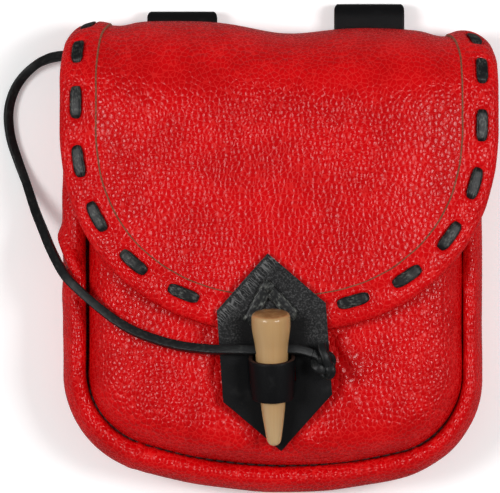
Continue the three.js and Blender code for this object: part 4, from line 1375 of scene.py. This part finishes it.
class POUCH_OT_clasp(bpy.types.Operator):
    """Make the clasp plate, its thong, the keeper and the horn toggle"""

    bl_idname = "pouch.clasp"
    bl_label = "Clasp"

    def execute(self, context):
        leather = Leather(context.scene)
        self.add_plate(leather)
        self.add_thong(leather)
        self.add_keeper(leather)
        self.add_horn(leather)
        return {"FINISHED"}

    def add_plate(self, leather):
        clasp = leather.clasp
        half, tip, shoulder = clasp.plate_width / 2, clasp.plate_length / 2, clasp.plate_shoulder
        bm = bmesh.new()
        left = [(0, tip), (-half, shoulder), (-half, -shoulder)]
        right = [(-x, -y) for x, y in left]
        bm.faces.new([bm.verts.new((x, y, 0.0)) for x, y in left + right])
        step = 1.25 * MM
        for axis, reach in ((Vector((1, 0, 0)), half), (Vector((0, 1, 0)), tip)):
            cuts = int(reach / step)
            for k in range(-cuts, cuts + 1):
                everything, place = bm.verts[:] + bm.edges[:] + bm.faces[:], axis * step * k
                bmesh.ops.bisect_plane(bm, geom=everything, plane_co=place, plane_no=axis, dist=1e-7)
        turn = Matrix.Rotation(clasp.plate_lean, 4, "Z")
        centre = Vector((clasp.plate_x, clasp.plate_y, 0.0))
        for vert in bm.verts:
            vert.co = turn @ vert.co + centre

        slot_x = clasp.keeper_inner / 2 + clasp.keeper_leather + 0.05 * MM
        slot_y = clasp.keeper_width / 2 + 0.1 * MM
        slot_middle = clasp.y + clasp.keeper_drop * 0.75 * math.sin(clasp.horn_tilt)

        def in_slot(face):
            middle = face.calc_center_median()
            return abs(middle.x - clasp.x) < slot_x and abs(middle.y - slot_middle) < slot_y

        bmesh.ops.delete(bm, geom=[face for face in bm.faces if in_slot(face)], context="FACES")
        for vert in bm.verts:
            x, y = vert.co.x, vert.co.y
            at_side = smoothstep(abs(x - centre.x), 12 * MM, 21 * MM)
            curl = 0.5 * MM * at_side * smoothstep(-y, 20 * MM, 60 * MM)
            sway = 0.3 * MM * wander(x * 60, y * 45, 7.0)
            vert.co.z = leather.plate_surface(x, y) + sway + curl
        finish = ["Clasp plate leather", "Clasp plate leather"]
        add_black("clasp_plate_leather", bm, finish, "clasp_plate", clasp.plate_leather, 0.35 * MM)

    def add_thong(self, leather):
        clasp = leather.clasp
        left, top, right = [Vector(place) * MM for place in THONG_ROUTE]
        thickness, steps = 1.2 * MM, 40
        lift = clasp.plate_leather / 2 + thickness / 2 + 0.1 * MM
        section = ring_section(clasp.thong_width, thickness, 14, power=3.2)

        def arm(start, end, end_down, end_up=None):
            """A straight strip that dives into its hole at one end, and may rise over the other arm."""
            points = []
            for k in range(steps + 1):
                t = k / steps
                at = start.lerp(end, t)
                over = 0.9 * MM * smoothstep(t, *end_up) if end_up else 0.0
                height = lift + over - 2.4 * MM * smoothstep(t, *end_down)
                height += 0.25 * MM * math.sin(math.pi * t)
                points.append(Vector((*at, leather.plate_surface(at.x, at.y) + height)))
            return tube(points, [Vector((0.0, 0.1, 1.0))] * len(points), section)

        beyond = (top - left).normalized() * 1.6 * MM
        bm = arm(left, top + beyond, end_down=(0.14, 0.0), end_up=(0.75, 0.95))
        join(bm, arm(top + Vector((-1.4, 1.2)) * MM, right, end_down=(0.86, 1.0)))
        add_piece("plate_thong_lace", bm, ["Worn thong"], ["plate_thong"], sharp=80)

    def add_keeper(self, leather):
        clasp = leather.clasp
        half_wall = clasp.keeper_leather / 2
        half = clasp.keeper_inner / 2 + half_wall
        rise, drop = clasp.keeper_rise + half_wall, clasp.keeper_drop + half_wall
        corner, corner_steps, arch = 2.2 * MM, 8, 40
        turns = [math.pi * k / arch for k in range(arch + 1)]
        loop = [Vector((half * math.cos(turn), rise * math.sin(turn))) for turn in turns]
        for x, start in ((corner - half, math.pi), (half - corner, 1.5 * math.pi)):
            for k in range(corner_steps + 1):
                turn = start + math.pi / 2 * k / corner_steps
                loop.append(Vector((x + corner * math.cos(turn), corner - drop + corner * math.sin(turn))))
        loop.append(loop[0].copy())
        track = Track(loop)
        matrix = leather.toggle_frame()

        def place(u, v):
            at = track.at(track.length * u)
            y = lerp(-clasp.keeper_width / 2, clasp.keeper_width / 2, v)
            flare = 1 + (0.05 if at.y > -2 * MM else 0.02) * (2 * v - 1)
            bow = 0.25 * MM * math.sin(math.pi * v) if at.y > 0 else 0.0
            return matrix @ Vector((at.x * flare, y, at.y + bow))

        bm = grid(96, 14, place, size=(track.length, clasp.keeper_width))
        bmesh.ops.remove_doubles(bm, verts=bm.verts, dist=1e-6)
        bmesh.ops.recalc_face_normals(bm, faces=bm.faces)
        finish = ["Smooth black leather", "Brown cut edge"]
        add_black("toggle_keeper_leather", bm, finish, "toggle_keeper", clasp.keeper_leather, 0.22 * MM)

    def add_horn(self, leather):
        rows = [Vector((row.radius, row.along)) * MM for row in HORN]
        steps, fine_steps, end_steps = 90, 400, 7
        profile = Track([smooth_line(rows, k / fine_steps) for k in range(fine_steps + 1)])
        outline = [profile.at(profile.length * k / steps) for k in range(steps + 1)]
        top_radius, top_along = outline[-1]
        for k in range(1, end_steps):
            inward = k / end_steps
            bulge = 0.45 * MM * math.sin(inward * math.pi / 2)
            outline.append(Vector((top_radius * (1 - inward), top_along + bulge)))
        bm = bmesh.new()
        layer = bm.loops.layers.uv.new("UVMap")
        verts = [bm.verts.new((max(p.x, 0.0), p.y, 0.0)) for p in outline]
        edges = [bm.edges.new(pair) for pair in zip(verts, verts[1:])]
        whole_turn = {"axis": (0, 1, 0), "cent": (0, 0, 0), "angle": 2 * math.pi, "steps": 48}
        bmesh.ops.spin(bm, geom=verts + edges, use_merge=True, **whole_turn)
        bmesh.ops.remove_doubles(bm, verts=bm.verts, dist=2e-5)
        cap_holes(bm)
        girth_radius = 6 * MM
        for face in bm.faces:
            centre = face.calc_center_median()
            base = math.atan2(centre.z, centre.x)
            for loop in face.loops:
                co = loop.vert.co
                turn = math.atan2(co.z, co.x) if co.xz.length > 1e-6 else base
                turn = base + (turn - base + math.pi) % (2 * math.pi) - math.pi
                inward = (top_radius - co.xz.length) if co.y > top_along - 0.01 * MM else 0.0
                loop[layer].uv = (turn * girth_radius, co.y - outline[0].y + inward)
        bm.transform(leather.toggle_frame())
        add_piece("horn_toggle_turned", bm, ["Polished horn"], ["horn_toggle"], sharp=45)


class POUCH_OT_belt_loops(bpy.types.Operator):
    """Make the two belt loops on the back"""

    bl_idname = "pouch.belt_loops"
    bl_label = "Belt loops"

    def execute(self, context):
        leather = Leather(context.scene)
        for node in ("belt_loop_left", "belt_loop_right"):
            self.add_loop(leather, node)
        return {"FINISHED"}

    def add_loop(self, leather, node):
        clasp, body = leather.clasp, leather.body
        low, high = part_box(node)
        centre_x, top = (low[0] + high[0]) / 2, high[1]
        wall = clasp.loop_leather
        fold_y = top - wall - clasp.loop_fold

        def inner_leg(y):
            return leather.back_height(y) - body.gap - wall / 2

        middle = (wall / 2 + inner_leg(fold_y)) / 2
        radius = (inner_leg(fold_y) - wall / 2) / 2
        line = [Vector((clasp.loop_bottom_y, wall / 2)), Vector((fold_y, wall / 2))]
        fold_steps, leg_steps = 16, 30
        for k in range(1, fold_steps + 1):
            turn = -math.pi / 2 + math.pi * k / fold_steps
            y = fold_y + (clasp.loop_fold + wall / 2) * math.cos(turn)
            line.append(Vector((y, middle + radius * math.sin(turn))))
        for k in range(1, leg_steps + 1):
            y = lerp(fold_y, clasp.loop_bottom_y + 9 * MM, k / leg_steps)
            line.append(Vector((y, inner_leg(y))))
        track = Track(line)

        def place(u, v):
            at = track.at(track.length * v)
            rounding = clamp(1 - (top - wall / 2 - at.x) / (1.6 * MM))
            narrow = 1.3 * MM * (1 - math.sqrt(1 - rounding * rounding))
            x = centre_x + (u - 0.5) * (clasp.loop_width - 2 * narrow)
            sway = 0.12 * MM * wander(u * 3, v * 14, centre_x * 100)
            return Vector((x, at.x, max(at.y, wall / 2) + abs(sway)))

        bm = grid(22, 150, place, size=(clasp.loop_width, track.length))
        finish = ["Smooth black leather", "Brown cut edge"]
        add_black(f"{node}_strap", bm, finish, node, wall, 0.4 * MM)


class POUCH_PT_panel(bpy.types.Panel):
    """Sizes and colours of the pouch, and a button for each group of pieces"""

    bl_label = "Belt pouch"
    bl_idname = "POUCH_PT_panel"
    bl_space_type = "VIEW_3D"
    bl_region_type = "UI"
    bl_category = "Pouch"

    def draw(self, context):
        layout = self.layout
        for operator in OPERATORS:
            layout.operator(operator.bl_idname)
        for attribute, group in GROUPS.items():
            box = layout.box()
            box.label(text=group.__doc__)
            for name in group.__annotations__:
                box.prop(getattr(context.scene, attribute), name)


OPERATORS = (
    POUCH_OT_stage,
    POUCH_OT_cord,
    POUCH_OT_bag,
    POUCH_OT_flap,
    POUCH_OT_clasp,
    POUCH_OT_belt_loops,
)


def register():
    for item in (*GROUPS.values(), *OPERATORS, POUCH_PT_panel):
        bpy.utils.register_class(item)
    for attribute, group in GROUPS.items():
        setattr(bpy.types.Scene, attribute, PointerProperty(type=group))


def unregister():
    for attribute in GROUPS:
        delattr(bpy.types.Scene, attribute)
    for item in (POUCH_PT_panel, *reversed(OPERATORS), *reversed(GROUPS.values())):
        bpy.utils.unregister_class(item)


def main():
    register()
    bpy.ops.pouch.stage()
    bpy.ops.pouch.cord()
    bpy.ops.pouch.bag()
    bpy.ops.pouch.flap()
    bpy.ops.pouch.clasp()
    bpy.ops.pouch.belt_loops()


if __name__ == "__main__":
    main()
